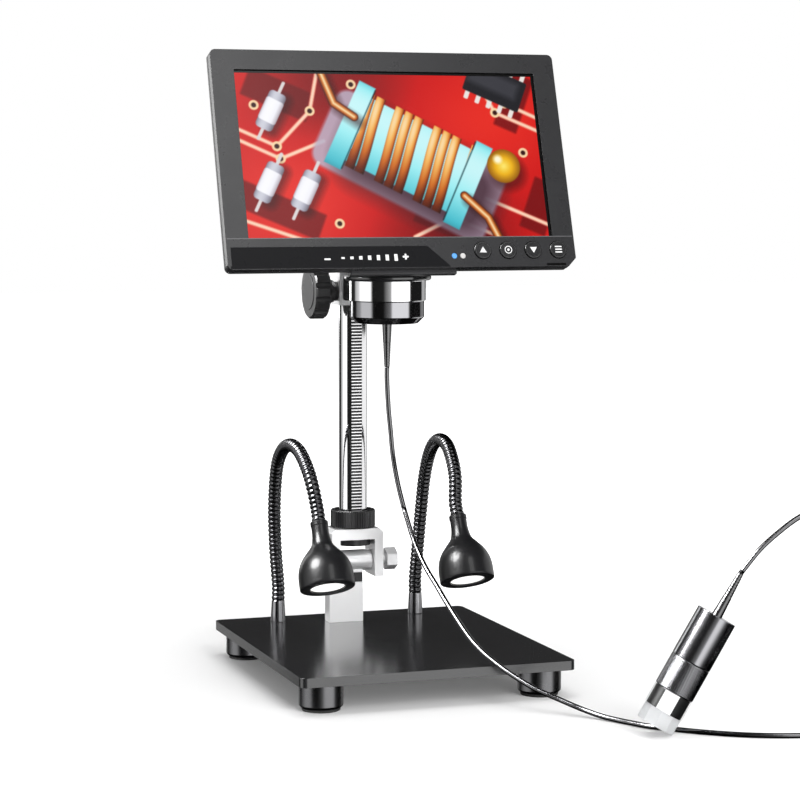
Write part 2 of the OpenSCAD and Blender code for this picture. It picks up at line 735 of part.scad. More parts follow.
// Half the angle of a pinion tooth at radius r, thinned by the slack
function tooth_half_angle(r) =
    let (base_r = pinion_r * cos(pressure_angle))
    90 / pinion_teeth - tooth_slack / 2 / pinion_r * 180 / PI
        + involute_angle(pinion_r, base_r) - involute_angle(max(r, base_r), base_r);

tooth_radii = [for (k = [0:5]) pinion_root + (pinion_tip - pinion_root) * k / 5];

module pinion_outline() polygon([for (i = [0:pinion_teeth - 1], s = [-1, 1], k = [0:5])
    let (r = tooth_radii[s < 0 ? k : 5 - k], a = 360 * i / pinion_teeth + s * tooth_half_angle(r))
    r * [cos(a), sin(a)]]);

// A knob on the positive X side of the shaft
module knob() difference() {
    translate([0, pinion_y, pinion_z]) rotate([0, 90, 0]) rotate_extrude() polygon([
        [0, knob_hub_x], [knob_hub_r, knob_hub_x], [knob_hub_r + 1, knob_hub_x + 2.6],
        [knob_r - 7, knob_in_x], [knob_r - 1, knob_in_x], [knob_r, knob_in_x + 1],
        [knob_r, knob_face_x - 1.2], [knob_r - 1.2, knob_face_x], [0, knob_face_x]]);
    for (i = [0:knob_flutes - 1]) translate([0, pinion_y, pinion_z])
        rotate([360 * (i + 0.5) / knob_flutes, 0, 0]) translate([knob_in_x - 1, 0, knob_r + 1.6])
            rotate([0, 90, 0]) cylinder(r = 3, h = knob_w + 2, $fn = 24);
    bar_x(0, knob_face_x - knob_stub + 0.2, shaft_d / 2 + seat_gap / 2, pinion_y, pinion_z);
    bar_x(knob_face_x - knob_cap_t, knob_face_x + 1, knob_cap_r + seat_gap, pinion_y, pinion_z);
}

module left_knob() color([0.08, 0.08, 0.09]) mirror([1, 0, 0]) knob();

module right_knob() color([0.08, 0.08, 0.09]) knob();

module knob_caps() color([0.35, 0.35, 0.37]) for (x = [0, 1]) mirror([x, 0, 0])
    bar_x(knob_face_x - knob_cap_t, knob_face_x + 0.5, knob_cap_r, pinion_y, pinion_z);

// ---------- head and dock ----------

// Camera housing behind the screen, with the fork of the screen hinge
module head_housing() color([0.07, 0.07, 0.08]) difference() {
    union() {
        intersection() {
            translate([0, 0, flange_top]) cylinder(r = housing_r, h = housing_h);
            translate([-housing_r, housing_y0, flange_top])
                cube([2 * housing_r, 2 * housing_r, housing_h]);
        }
        for (x = [-1, 1]) translate([x * (knuckle_w / 2 + body_gap + ear_w / 2), 0, 0]) {
            bar_x(-ear_w / 2, ear_w / 2, knuckle_r, hinge_y, hinge_z);
            translate([-ear_w / 2, hinge_y, hinge_z - knuckle_r])
                cube([ear_w, housing_y0 - hinge_y + 1, 2 * knuckle_r]);
        }
    }
    intersection() {
        translate([0, 0, flange_top - through])
            cylinder(r = housing_r - housing_wall, h = housing_h - housing_wall + through);
        translate([-housing_r, housing_y0 + housing_wall, flange_top - through])
            cube([2 * housing_r, 2 * housing_r, housing_h]);
    }
    translate([-arm_w / 2 - seat_gap, arm_y0 - seat_gap, arm_z - seat_gap])
        cube([arm_w + 2 * seat_gap, 2 * housing_r, arm_t + 2 * seat_gap]);
    bar_x(-housing_r, housing_r, pin_d / 2 + seat_gap / 2, hinge_y, hinge_z);
}

module hinge_pin() color([0.75, 0.75, 0.77])
    bar_x(-knuckle_w / 2 - ear_w - 1, knuckle_w / 2 + ear_w + 1, pin_d / 2, hinge_y, hinge_z);

// Flange and upper band of the dock
module dock_flange() color([0.05, 0.05, 0.055]) rotate_extrude() polygon([
    [0, flange_top], [0, band_top - 1], [dock_r - dock_wall, band_top - 1],
    [dock_r - dock_wall, cup_top], [dock_r, cup_top], [dock_r, band_top],
    [flange_r - 1, band_top], [flange_r, band_top + 1], [flange_r, flange_top]]);

module dock_cup() color([0.05, 0.05, 0.055]) difference() {
    rotate_extrude() polygon([
        [0, dock_z], [cup_r - cup_chamfer, dock_z], [cup_r, dock_z + cup_chamfer],
        [cup_r, cup_top], [dock_r - dock_wall - seat_gap, cup_top],
        [dock_r - dock_wall - seat_gap, cup_top + 4],
        [cup_r - 2 * dock_wall, cup_top + 4], [cup_r - 2 * dock_wall, dock_z + cup_chamfer + 1],
        [cup_r - cup_chamfer - dock_wall, dock_z + dock_wall], [0, dock_z + dock_wall]]);
    translate([0, 0, dock_z - through])
        cylinder(r = relief_r0 + seat_gap, h = dock_wall + 2 * through);
}

module dock_board() color([0.1, 0.35, 0.2])
    translate([0, 0, cup_top + 4]) cylinder(r = cup_r - 1.6, h = 1.6);

// Tapered sleeve where the cord leaves the dock
module dock_relief() color([0.06, 0.06, 0.06]) {
    translate([0, 0, dock_z - relief_l])
        cylinder(r1 = relief_r1, r2 = relief_r0, h = relief_l);
    translate([0, 0, dock_z - 0.5]) cylinder(r = relief_r0, h = dock_wall + 0.5);
    translate([0, 0, dock_z + dock_wall]) cylinder(r = relief_r0 + 2, h = relief_seat);
}

// ---------- screen ----------

// Outline of the housing, with the lower right corner cut off
module screen_outline(inset) difference() {
    translate([0, screen_h / 2]) round_rect(screen_w - 2 * inset, screen_h - 2 * inset, 4);
    translate([screen_w / 2 - inset + 1, inset - 1])
        polygon([[0, 0], [-corner_cut - 2, 0], [0, corner_cut + 2]]);
}

// Extrudes an outline drawn on the screen's front from depth y0 to y1
module deep(y0, y1) {
    translate([0, y1, 0]) rotate([90, 0, 0]) linear_extrude(y1 - y0) children();
}

module at_buttons(n) {
    translate([button_x0 + n * button_pitch, 0, button_z]) children();
}

module front_bezel() color([0.13, 0.13, 0.14]) on_screen() difference() {
    deep(0, bezel_t) screen_outline(0);
    translate([-display_w / 2, -through, band_bottom])
        cube([display_w, bezel_t + 2 * through, display_h]);
    translate([-display_w / 2 - panel_margin - seat_gap, bezel_lip,
        band_bottom - panel_margin - seat_gap])
        cube([display_w + 2 * (panel_margin + seat_gap), bezel_t,
            display_h + 2 * (panel_margin + seat_gap)]);
    deep(-through, strip_t) offset_strip(seat_gap);
    for (n = [0:3]) at_buttons(n) rotate([-90, 0, 0]) {
        translate([0, 0, -through]) cylinder(d = button_d + 2 * button_gap, h = bezel_t + 2);
        translate([0, 0, button_front_t]) cylinder(d = button_flange_d + 1, h = bezel_t);
    }
    for (x = light_xs) translate([x, -through, light_z]) rotate([-90, 0, 0])
        cylinder(d = light_d + 2 * seat_gap, h = bezel_t + 2 * through);
}

module offset_strip(g) polygon([[strip_x0 - g, strip_z0 - g], [strip_x1_low + g, strip_z0 - g],
    [strip_x1_top + g, strip_z1 + g], [strip_x0 - g, strip_z1 + g]]);

module control_strip() color([0.03, 0.03, 0.035]) on_screen() deep(0, strip_t) offset_strip(0);

// A frustum block along Y between two rectangles, given as [x half width, z low, z high]
module frustum(y0, a, y1, b) hull() {
    translate([-a[0], y0, a[1]]) cube([2 * a[0], 0.01, a[2] - a[1]]);
    translate([-b[0], y1 - 0.01, b[1]]) cube([2 * b[0], 0.01, b[2] - b[1]]);
}

module back_cover() color([0.1, 0.1, 0.11]) on_screen() difference() {
    union() {
        deep(bezel_t, edge_t) screen_outline(0);
        frustum(edge_t - 0.5, [screen_w / 2 - bulge_inset_x + bulge_slope, bulge_z0 - 3,
            bulge_z1 + bulge_slope], screen_t, [screen_w / 2 - bulge_inset_x, bulge_z0, bulge_z1]);
        translate([-chin_w / 2, bezel_t, -chin_drop])
            cube([chin_w, edge_t - bezel_t, chin_drop + 2]);
    }
    deep(bezel_t - through, edge_t - cover_wall) screen_outline(cover_wall);
    frustum(edge_t - cover_wall - 1, [screen_w / 2 - bulge_inset_x + bulge_slope - 4, bulge_z0 + 1,
        bulge_z1 + bulge_slope - 4], screen_t - cover_wall,
        [screen_w / 2 - bulge_inset_x - 3, bulge_z0 + 4, bulge_z1 - 4]);
}

// Metal plate on the cover's back, with the knuckle that turns on the hinge pin
module screen_bracket() color([0.5, 0.5, 0.52]) on_screen() difference() {
    union() {
        translate([-knuckle_w / 2 - 4, screen_t, hinge_local[2] - 9])
            cube([knuckle_w + 8, bracket_plate_t, 26]);
        bar_x(-knuckle_w / 2, knuckle_w / 2, knuckle_r, hinge_local[1], hinge_local[2]);
        translate([-knuckle_w / 2, screen_t, hinge_local[2] - knuckle_r])
            cube([knuckle_w, hinge_local[1] - screen_t, 2 * knuckle_r]);
    }
    bar_x(-knuckle_w, knuckle_w, pin_d / 2 + run_gap, hinge_local[1], hinge_local[2]);
    // room for the fork's ears beside the knuckle
    for (x = [-1, 1]) translate([x * (knuckle_w / 2 + 5), 0, 0])
        bar_x(-5, 5, knuckle_r + body_gap, hinge_local[1], hinge_local[2]);
}

module lcd_panel() color([0.75, 0.08, 0.08]) on_screen()
    translate([-display_w / 2 - panel_margin, bezel_lip, band_bottom - panel_margin])
        cube([display_w + 2 * panel_margin, panel_t, display_h + 2 * panel_margin]);

// Circuit board of the screen, on four posts that stand on the panel's back
module main_board() color([0.1, 0.35, 0.2]) on_screen() {
    translate([board_x, board_y, board_z]) cube([board_w, board_t, board_h]);
    for (x = [5, board_w - 5], z = [5, board_h - 5])
        translate([board_x + x, bezel_lip + panel_t, board_z + z]) rotate([-90, 0, 0])
            cylinder(d = 5, h = board_y - bezel_lip - panel_t + board_t / 2, $fn = 24);
}

// Battery, held on the inner face of the back cover
module battery_pack() color([0.15, 0.3, 0.65]) on_screen()
    translate([battery_x, screen_t - cover_wall - battery_t, battery_z])
        cube([battery_w, battery_t, battery_h]);

module indicator_lights() color([0.5, 0.7, 1]) on_screen() for (x = light_xs)
    translate([x, 0.3, light_z]) rotate([-90, 0, 0]) cylinder(d = light_d, h = bezel_t - 0.3);

// Cap and retaining flange of push button n, which moves into the screen's depth
module push_button(n) color([0.09, 0.09, 0.1]) on_screen() at_buttons(n) rotate([-90, 0, 0]) {
    translate([0, 0, -button_proud]) cylinder(d = button_d, h = button_proud + button_front_t + 1);
    translate([0, 0, button_front_t + body_gap]) cylinder(d = button_flange_d, h = button_flange_t);
}

module button_up() push_button(0);
module button_select() push_button(1);
module button_down() push_button(2);
module button_menu() push_button(3);

// ---------- lamps ----------

// A lamp shell ends short of the gooseneck by the gap between bodies
lamp_gap_l = lamp_l - body_gap;

bell_h = lamp_gap_l - lamp_neck_l;

// Half the outline of a lamp shell, from the rim (Z = 0) up to its neck: the bell's curve is
// drawn in shares of the bell's own height
lamp_outline = [
    [lamp_d / 2 - 1, 0], [lamp_d / 2, 1], [lamp_d / 2, 0.22 * bell_h],
    [lamp_d / 2 - 0.5, 0.36 * bell_h], [lamp_d / 2 - 2, 0.5 * bell_h],
    [lamp_d / 2 - 4.7, 0.63 * bell_h], [lamp_d / 2 - 8.3, 0.75 * bell_h],
    [lamp_neck_d / 2 + 1.8, 0.87 * bell_h], [lamp_neck_d / 2 + 0.5, bell_h],
    [lamp_neck_d / 2, bell_h + 4], [lamp_neck_d / 2, lamp_gap_l]];

module lamp_shell(side) color([0.09, 0.09, 0.1]) on_lamp(side) difference() {
    rotate_extrude() polygon(concat(lamp_outline, [[neck_bore / 2, lamp_gap_l],
        [neck_bore / 2, 0.73 * bell_h], [lamp_d / 2 - 10, 0.56 * bell_h],
        [lamp_d / 2 - lamp_rim_w - lamp_wall, 0.34 * bell_h],
        [lamp_d / 2 - lamp_rim_w - lamp_wall, lens_t + 2], [lens_d / 2 + seat_gap, lens_t + 2],
        [lens_d / 2 + seat_gap, 0]]));
}

module lamp_lens(side) color([1, 1, 0.96]) on_lamp(side) {
    translate([0, 0, 1]) cylinder(d = lens_d, h = lens_t + 1);
    translate([0, 0, lens_t + 2]) cylinder(d = lens_d + 3, h = 1);
}

module left_lamp_shell() lamp_shell(-1);
module right_lamp_shell() lamp_shell(1);
module left_lamp_lens() lamp_lens(-1);
module right_lamp_lens() lamp_lens(1);

// ---------- probe ----------

module probe_tip() color([0.85, 0.87, 0.9]) on_probe() difference() {
    cylinder(d = probe_d, h = tip_l);
    translate([0, 0, -through]) cylinder(d = probe_d - 2 * tip_wall, h = tip_l + 2 * through);
}

// Body: a thin inner barrel under the tip and the ring, then the wide grip
module probe_body() color([0.08, 0.08, 0.09]) on_probe() difference() {
    union() {
        translate([0, 0, tip_l - 10]) cylinder(r = neck_r, h = ring_l + 11);
        translate([0, 0, tip_l - 4])
            cylinder(d = probe_d - 2 * tip_wall - 2 * seat_gap, h = 4 - body_gap);
        translate([0, 0, tip_l + ring_l + body_gap])
            cylinder(d = probe_d, h = grip_l - body_gap);
    }
    translate([0, 0, tip_l - 11]) cylinder(r = neck_r - probe_wall, h = ring_l + grip_l + 8);
    translate([0, 0, probe_l - 4]) cylinder(r = relief_r0 + seat_gap, h = 5);
}

module probe_focus_ring() color([0.07, 0.07, 0.08]) on_probe() difference() {
    translate([0, 0, tip_l + body_gap]) linear_extrude(ring_l - body_gap)
        polygon([for (i = [0:2 * ring_ridges - 1])
            (probe_d / 2 - (i % 2) * 0.45) * [cos(180 * i / ring_ridges),
                sin(180 * i / ring_ridges)]]);
    translate([0, 0, tip_l]) cylinder(r = neck_r + run_gap, h = ring_l + through);
}

module probe_lens() color([0.2, 0.25, 0.35]) on_probe()
    translate([0, 0, tip_l - 8]) cylinder(r = neck_r - probe_wall - seat_gap, h = 6);

module probe_board() color([0.1, 0.35, 0.2]) on_probe()
    translate([0, 0, tip_l + 8]) cylinder(r = neck_r - probe_wall - seat_gap, h = 1.6);

module probe_relief() color([0.06, 0.06, 0.06]) on_probe() {
    translate([0, 0, probe_l - 3]) cylinder(r = relief_r0, h = 4);
    translate([0, 0, probe_l]) cylinder(r1 = relief_r0, r2 = relief_r1, h = relief_l);
}

probe_axis = [sin(probe_lean) * cos(probe_heading), sin(probe_lean) * sin(probe_heading),
    cos(probe_lean)];
lead_end = probe_tip_at + (probe_l + relief_l) * probe_axis;

// ---------- cord ----------

// A length of cord through the route's points, n steps long
module cord_run(route, n, t0, t1) {
    p = even(route, n);
    swept(p, [for (i = p) cord_d / 2], 8, [-0.6, -0.35, 0.05], t0, t1);
}

coil_wound = [for (i = [0:coil_steps * coil_turns])
    let (a = -90 + 360 * i / coil_steps)
    [coil_centre[0] + coil_r * cos(a), coil_centre[1] + coil_r * sin(a),
        cord_floor_z + coil_pitch * i / coil_steps]];
coil_points = concat([coil_wound[0] - [coil_straight, 0, 0]], coil_wound,
    [coil_wound[len(coil_wound) - 1] + [coil_straight, 0, 0]]);

// Least gap between two parts of the coil that lie at least a third of a turn apart
coil_gap = min([for (i = [0:len(coil_points) - 1])
    for (j = [i + coil_steps / 3:1:len(coil_points) - 1])
        norm(coil_points[i] - coil_points[j]) - cord_d]);
echo(least_coil_gap_mm = coil_gap);

module cord_upper() color([0.08, 0.08, 0.08])
    cord_run(upper_route, 10, [0, 0, -1], unit([0.17, -0.55, -1]));

module cord_lower() color([0.08, 0.08, 0.08])
    cord_run(lower_route, 42, unit([0.17, -0.55, -1]), [1, 0, 0]);

module cord_coil() color([0.08, 0.08, 0.08])
    swept(coil_points, [for (i = coil_points) cord_d / 2], 6, [0, 0, 1], [1, 0, 0], [1, 0, 0]);

module cord_lead() color([0.08, 0.08, 0.08])
    cord_run(concat(lead_route, [lead_end]), 26, [1, 0, 0], -probe_axis);

// ---------- parts ----------

base_plate();
feet();
foot_pads();
base_screws();
column_block();
barrel_saddle();
hinge_barrel();
gooseneck_ferrules();
ferrule_nuts();
left_gooseneck();
right_gooseneck();
cord_lower();
cord_coil();
cord_lead();
yoke();
post();
rack();
post_cap();
tilt_washer();
tilt_nut();
lock_collar();
tilt_bolt();
carriage_block();
bearing_liner();
pinion_bushes();
arm_screws();
head_arm();
head_housing();
hinge_pin();
dock_flange();
dock_cup();
dock_board();
dock_relief();
cord_upper();
pinion_shaft();
left_knob();
right_knob();
knob_caps();
front_bezel();
back_cover();
screen_bracket();
lcd_panel();
control_strip();
main_board();
battery_pack();
indicator_lights();
button_up();
button_select();
button_down();
button_menu();
left_lamp_shell();
left_lamp_lens();
right_lamp_shell();
right_lamp_lens();
probe_body();
probe_focus_ring();
probe_tip();
probe_lens();
probe_board();
probe_relief();
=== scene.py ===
import json
import math

import bmesh
import bpy
import numpy as np
from mathutils import Matrix, Vector

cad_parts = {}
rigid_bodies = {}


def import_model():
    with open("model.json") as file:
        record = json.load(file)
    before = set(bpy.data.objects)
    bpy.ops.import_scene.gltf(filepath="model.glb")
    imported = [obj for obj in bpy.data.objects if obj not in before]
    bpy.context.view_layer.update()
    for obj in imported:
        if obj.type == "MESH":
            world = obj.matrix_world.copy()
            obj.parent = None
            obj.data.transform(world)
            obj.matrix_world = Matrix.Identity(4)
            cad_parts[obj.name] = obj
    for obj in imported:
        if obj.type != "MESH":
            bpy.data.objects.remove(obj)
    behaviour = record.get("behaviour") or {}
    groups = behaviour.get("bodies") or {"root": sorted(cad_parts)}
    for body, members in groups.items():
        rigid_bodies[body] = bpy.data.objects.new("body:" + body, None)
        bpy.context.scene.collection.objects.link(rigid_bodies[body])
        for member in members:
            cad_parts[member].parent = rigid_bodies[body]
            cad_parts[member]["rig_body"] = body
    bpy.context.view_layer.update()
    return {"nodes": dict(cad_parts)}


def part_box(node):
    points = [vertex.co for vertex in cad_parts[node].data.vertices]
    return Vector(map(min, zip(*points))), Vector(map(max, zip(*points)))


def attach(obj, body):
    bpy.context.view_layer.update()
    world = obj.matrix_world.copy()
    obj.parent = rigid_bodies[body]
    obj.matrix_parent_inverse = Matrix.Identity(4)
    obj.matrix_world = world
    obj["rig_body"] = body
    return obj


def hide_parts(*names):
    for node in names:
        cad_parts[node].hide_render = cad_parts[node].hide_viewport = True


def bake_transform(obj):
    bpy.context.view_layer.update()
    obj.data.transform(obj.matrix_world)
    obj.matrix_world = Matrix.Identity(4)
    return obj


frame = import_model()
scene = bpy.context.scene
mm = 0.001

# ---------- camera ----------
# The camera stands in front and a little to the left, about 1.7 m away, a hand above the
# middle of the stand. It looks down by three degrees, and its view is shifted down and right.
eye = Vector((-0.5452, -1.6271, 0.3514))
view_axes = ((0.94818, -0.31773, 0.0), (0.01874, 0.05594, 0.99826), (-0.31718, -0.94653, 0.05900))
camera = bpy.data.objects.new("camera", bpy.data.cameras.new("camera"))
camera.data.lens = 108.99
camera.data.sensor_width = 36.0
camera.data.shift_x = 0.0162
camera.data.shift_y = -0.0928
camera.data.clip_end = 50.0
camera.matrix_world = Matrix.Translation(eye) @ Matrix(view_axes).transposed().to_4x4()
scene.collection.objects.link(camera)
scene.camera = camera

# ---------- probe cord ----------
# One thin round cord in a black jacket runs from the dock down to the table, past the stand's
# right side, through a round coil of two turns and up into the probe. It is made as four tubes;
# the coil rides on the base, and the other three are left unattached.
cord_width = 0.0035
cord_rest = 0.0019
hanging_route = [(0, 0, 221), (0, 0, 212), (0.3, -0.8, 200), (0.8, -1.8, 188), (1.6, -3.2, 176),
                 (2.3, -6.5, 158), (3.6, -13, 139.5), (5.6, -21, 122)]
floor_route = [(5.6, -21, 122), (8.1, -34, 102), (11.2, -48, 86), (15.8, -63, 72), (20, -79, 58.5),
               (25.5, -97, 44), (30.5, -109, 35.5), (36, -119, 29.5), (41.5, -128, 24.5),
               (47.5, -136.5, 20), (53.5, -144.5, 16), (60, -152, 12.8), (66.5, -159, 10),
               (73, -166.5, 7.2), (79.5, -174, 4.6), (86.5, -184, 2.5), (93, -196, 1.9),
               (99, -208, 1.9), (105, -219, 1.9), (114.5, -229.5, 1.9), (125.5, -240.5, 1.9),
               (137.5, -250.5, 1.9), (151.5, -260, 1.9), (167, -267.5, 1.9), (184, -273, 1.9),
               (202, -276, 1.9), (212, -276.5, 1.9), (222, -276.5, 1.9)]
lead_route = [(230, -276.5, 10.1), (239, -276.5, 10.7), (249, -275.5, 14), (259, -272.5, 22),
              (266, -267, 36), (269, -260, 55), (269, -253, 76), (265, -248, 98), (257, -246, 118),
              (245, -246, 134), (230, -247, 143.5), (213, -248, 143.5), (196, -248, 137.4),
              (182, -248, 128.8), (168, -248.2, 118)]
coil_centre, coil_radius, coil_climb, coil_straight = (226, -256.5), 20, 4.1, 4
coil_turns, coil_steps = 2, 32

probe_lean, probe_heading = math.radians(29.6), math.radians(-12.6)
probe_tip_at = Vector((0.1008, -0.2365, 0.01325 * math.sin(probe_lean) + 0.00035))
in_probe = (Matrix.Translation(probe_tip_at) @ Matrix.Rotation(probe_heading, 4, "Z")
            @ Matrix.Rotation(probe_lean, 4, "Y"))
probe_length, sleeve_length = 0.080, 0.031
lead_route.append(tuple((in_probe @ Vector((0, 0, probe_length + sleeve_length))) / mm))


def smooth_route(route, steps=8):
    """Points in metres on a smooth curve through a route in millimetres."""
    p = [Vector(q) * mm for q in route]
    p = [2 * p[0] - p[1]] + p + [2 * p[-1] - p[-2]]
    out = []
    for i in range(1, len(p) - 2):
        a, b, c, d = p[i - 1:i + 3]
        for k in range(steps):
            t = k / steps
            out.append(0.5 * (2 * b + (c - a) * t + (2 * a - 5 * b + 4 * c - d) * t * t
                              + (3 * b - a - 3 * c + d) * t ** 3))
    return out + [p[-2]]


def mesh_object(name, mesh):
    piece = bpy.data.objects.new(name, mesh)
    scene.collection.objects.link(piece)
    return piece


def made(name, b):
    """An object of a bmesh, which is freed."""
    mesh = bpy.data.meshes.new(name)
    b.to_mesh(mesh)
    b.free()
    return mesh_object(name, mesh)


def tube(name, points, radius, sides):
    """A closed tube along points; U runs along it in metres."""
    b = bmesh.new()
    uv = b.loops.layers.uv.new("along")
    run, rings, runs = 0.0, [], []
    t = (points[1] - points[0]).normalized()
    side = t.orthogonal().normalized()
    for i, p in enumerate(points):
        t = (points[min(i + 1, len(points) - 1)] - points[max(i - 1, 0)]).normalized()
        side = (side - side.dot(t) * t).normalized()
        up = t.cross(side)
        run += (p - points[i - 1]).length if i else 0
        runs.append(run)
        rings.append([b.verts.new(p + radius * (math.cos(a) * side + math.sin(a) * up))
                      for a in (2 * math.pi * k / sides for k in range(sides))])
    for i in range(len(rings) - 1):
        for k in range(sides):
            m = (k + 1) % sides
            f = b.faces.new((rings[i][k], rings[i][m], rings[i + 1][m], rings[i + 1][k]))
            f.smooth = True
            for loop, u, v in zip(f.loops, (runs[i], runs[i], runs[i + 1], runs[i + 1]),
                                  (k, k + 1, k + 1, k)):
                loop[uv].uv = (u, v / sides)
    b.faces.new(rings[0][::-1])
    b.faces.new(rings[-1])
    return made(name, b)


def step(tree, kind, out=0, **wires):
    """One node of a tree. A wire's value is a number, a vector or another node's output, and a
    wire's name is a socket's name, or an underscore and its number. One output is returned."""
    node = tree.nodes.new(kind)
    for label, value in wires.items():
        if label in ("operation", "mode", "data_type", "interpolation_type", "attribute_name"):
            setattr(node, label, value)
            continue
        socket = (node.inputs[int(label[1:])] if label[0] == "_"
                  else node.inputs[label.replace("_", " ")])
        if isinstance(value, bpy.types.NodeSocket):
            tree.links.new(value, socket)
        else:
            socket.default_value = value
    return node.outputs[out]


def calc(tree, operation, *terms):
    return step(tree, "ShaderNodeMath", operation=operation,
                **{"_%d" % i: term for i, term in enumerate(terms)})


def skin_of(finish):
    """The sockets of a finish's shader."""
    return finish.node_tree.nodes["Principled BSDF"].inputs


def simple_finish(name, **looks):
    """A finish with these values on its shader's sockets."""
    finish = bpy.data.materials.new(name)
    finish.use_nodes = True
    return lay_on(finish, **looks)


def lay_on(finish, **looks):
    for label, value in looks.items():
        skin_of(finish)[label.replace("_", " ")].default_value = value
    return finish


def surface(name, colour, rough, metal=0.0, shade=0.0, shade_scale=60.0, rough_swing=0.04,
            grain=0.0, grain_scale=900.0, stretch=(1, 1, 1), specular=0.5, coat=0.0):
    """A finish with a base colour, uneven shade and gloss, and a fine grain in its surface."""
    finish = simple_finish(name, Metallic=metal, Specular_IOR_Level=specular,
                           Coat_Weight=coat, Coat_Roughness=0.04)
    tree, skin = finish.node_tree, skin_of(finish)
    place = step(tree, "ShaderNodeMapping", Scale=stretch,
                 Vector=step(tree, "ShaderNodeTexCoord", "Object"))
    cloud = step(tree, "ShaderNodeTexNoise", Scale=shade_scale, Detail=4.0, Vector=place)
    tone = step(tree, "ShaderNodeMix", "Result", data_type="RGBA", Factor=cloud,
                A=[c * (1 - shade) for c in colour] + [1],
                B=[min(1, c * (1 + shade)) for c in colour] + [1])
    gloss = step(tree, "ShaderNodeMapRange", Value=cloud, To_Min=max(0.02, rough - rough_swing),
                 To_Max=rough + rough_swing)
    tree.links.new(tone, skin["Base Color"])
    tree.links.new(gloss, skin["Roughness"])
    if grain:
        fine = step(tree, "ShaderNodeTexNoise", Scale=grain_scale, Detail=2.0, Vector=place)
        bump = step(tree, "ShaderNodeBump", Strength=grain, Distance=0.0001, Height=fine)
        tree.links.new(bump, skin["Normal"])
    return finish


def dress(piece, *finishes):
    for finish in finishes:
        piece.data.materials.append(finish)
    return piece


cord_jacket = surface("cord_jacket", (0.15, 0.15, 0.155), 0.2, metal=1.0, shade=0.1,
                      shade_scale=400, grain=0.05, grain_scale=2500, coat=0.6)
wound = [(coil_centre[0] + coil_radius * math.cos(a), coil_centre[1] + coil_radius * math.sin(a),
          cord_rest / mm + coil_climb * (a + math.pi / 2) / (2 * math.pi))
         for a in (2 * math.pi * i / coil_steps - math.pi / 2
                   for i in range(coil_steps * coil_turns + 1))]
wound = ([(wound[0][0] - coil_straight, wound[0][1], wound[0][2])] + wound
         + [(wound[-1][0] + coil_straight, wound[-1][1], wound[-1][2])])
for name, node, route, fineness, laid in (
        ("cord_hanging", "cord_upper", hanging_route, 8, "hanging"),
        ("cord_on_table", "cord_lower", floor_route, 8, "loose"),
        ("cord_wound", "cord_coil", wound, 3, "coiled"),
        ("cord_to_probe", "cord_lead", lead_route, 8, "loose")):
    line = smooth_route(route, fineness)
    piece = dress(tube(name, line, cord_width / 2, 16), cord_jacket)
    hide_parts(node)
    if name == "cord_hanging":
        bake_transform(piece)
    elif name == "cord_on_table":
        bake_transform(piece)
    elif name == "cord_to_probe":
        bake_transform(piece)
    else:
        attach(piece, "base")

# ---------- feet and pads ----------
# Four turned feet, lacquered black, with a bevel above a glued-on rubber pad. A pan-head screw
# in the hollow of each foot holds it to the plate.
weld_gap, flat_within = 3e-6, math.radians(0.3)


def shade_edges(b, angle=35.0):
    """Curves smooth, and edges sharper than the angle kept crisp."""
    for f in b.faces:
        f.smooth = True
    for e in b.edges:
        e.smooth = e.is_manifold and e.calc_face_angle(0) < math.radians(angle)


def stand_for(piece, *nodes):
    """The piece takes the place of these CAD nodes, on the body that holds them."""
    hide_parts(*nodes)
    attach(piece, frame["nodes"][nodes[0]]["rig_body"])
    return piece


def worked(node, edge, *finishes, pick=None, angle=35.0):
    """A copy of a CAD piece with its sharp edges broken and its curves smooth. With several
    finishes, pick gives the number of the finish for a face's middle and normal."""
    b = bmesh.new()
    b.from_mesh(frame["nodes"][node].data)
    bmesh.ops.remove_doubles(b, verts=b.verts, dist=weld_gap)
    bmesh.ops.dissolve_limit(b, angle_limit=flat_within, verts=b.verts, edges=b.edges)
    shade_edges(b, angle)
    for f in b.faces:
        f.material_index = int(pick(f.calc_center_median(), f.normal)) if pick else 0
    piece = dress(made(node + "_worked", b), *finishes)
    if edge:
        bevel = piece.modifiers.new("edge", "BEVEL")
        bevel.width = edge
        bevel.segments = 3
        bevel.angle_limit = math.radians(angle)
        bevel.harden_normals = True
    return stand_for(piece, node)


foot_lacquer = surface("foot_lacquer", (0.17, 0.17, 0.175), 0.28, metal=1.0, shade=0.08,
                       grain=0.05)
pad_rubber = surface("pad_rubber", (0.03, 0.03, 0.03), 0.75, shade=0.25, grain=0.6)
screw_steel = surface("screw_steel", (0.55, 0.55, 0.57), 0.3, metal=1.0, shade=0.12, grain=0.2)
worked("feet", 0.0006, foot_lacquer)
worked("foot_pads", 0.0004, pad_rubber)
worked("base_screws", 0.0004, screw_steel)

# ---------- base plate ----------
# A steel plate, sawn and milled square, with round corners and a broken edge, finished in
# smooth black stove enamel that mirrors what stands on it.
plate_enamel = surface("plate_enamel", (0.016, 0.016, 0.017), 0.17, shade=0.1, shade_scale=25,
                       rough_swing=0.02, specular=1.0)
worked("base_plate", 0.0009, plate_enamel)

# ---------- column block and hinge barrel ----------
# An upright block of bead-blasted aluminium, screwed to the plate from below. A black saddle
# on its top carries the cross barrel that the stand tilts on.
blasted_aluminium = surface("blasted_aluminium", (0.95, 0.95, 0.955), 0.3, metal=0.55,
                            shade=0.015, grain=0.1, grain_scale=1600)
turned_aluminium = surface("turned_aluminium", (0.95, 0.95, 0.96), 0.3, metal=0.6, shade=0.02,
                           grain=0.06, stretch=(0.05, 1, 1))
black_anodised = surface("black_anodised", (0.016, 0.016, 0.017), 0.3, shade=0.2, grain=0.1)
worked("column_block", 0.0007, blasted_aluminium)
# Painted shade in part: the saddle's black fills the gap under the barrel, where shade falls.
worked("barrel_saddle", 0.0003, black_anodised)
worked("hinge_barrel", 0.0004, turned_aluminium)

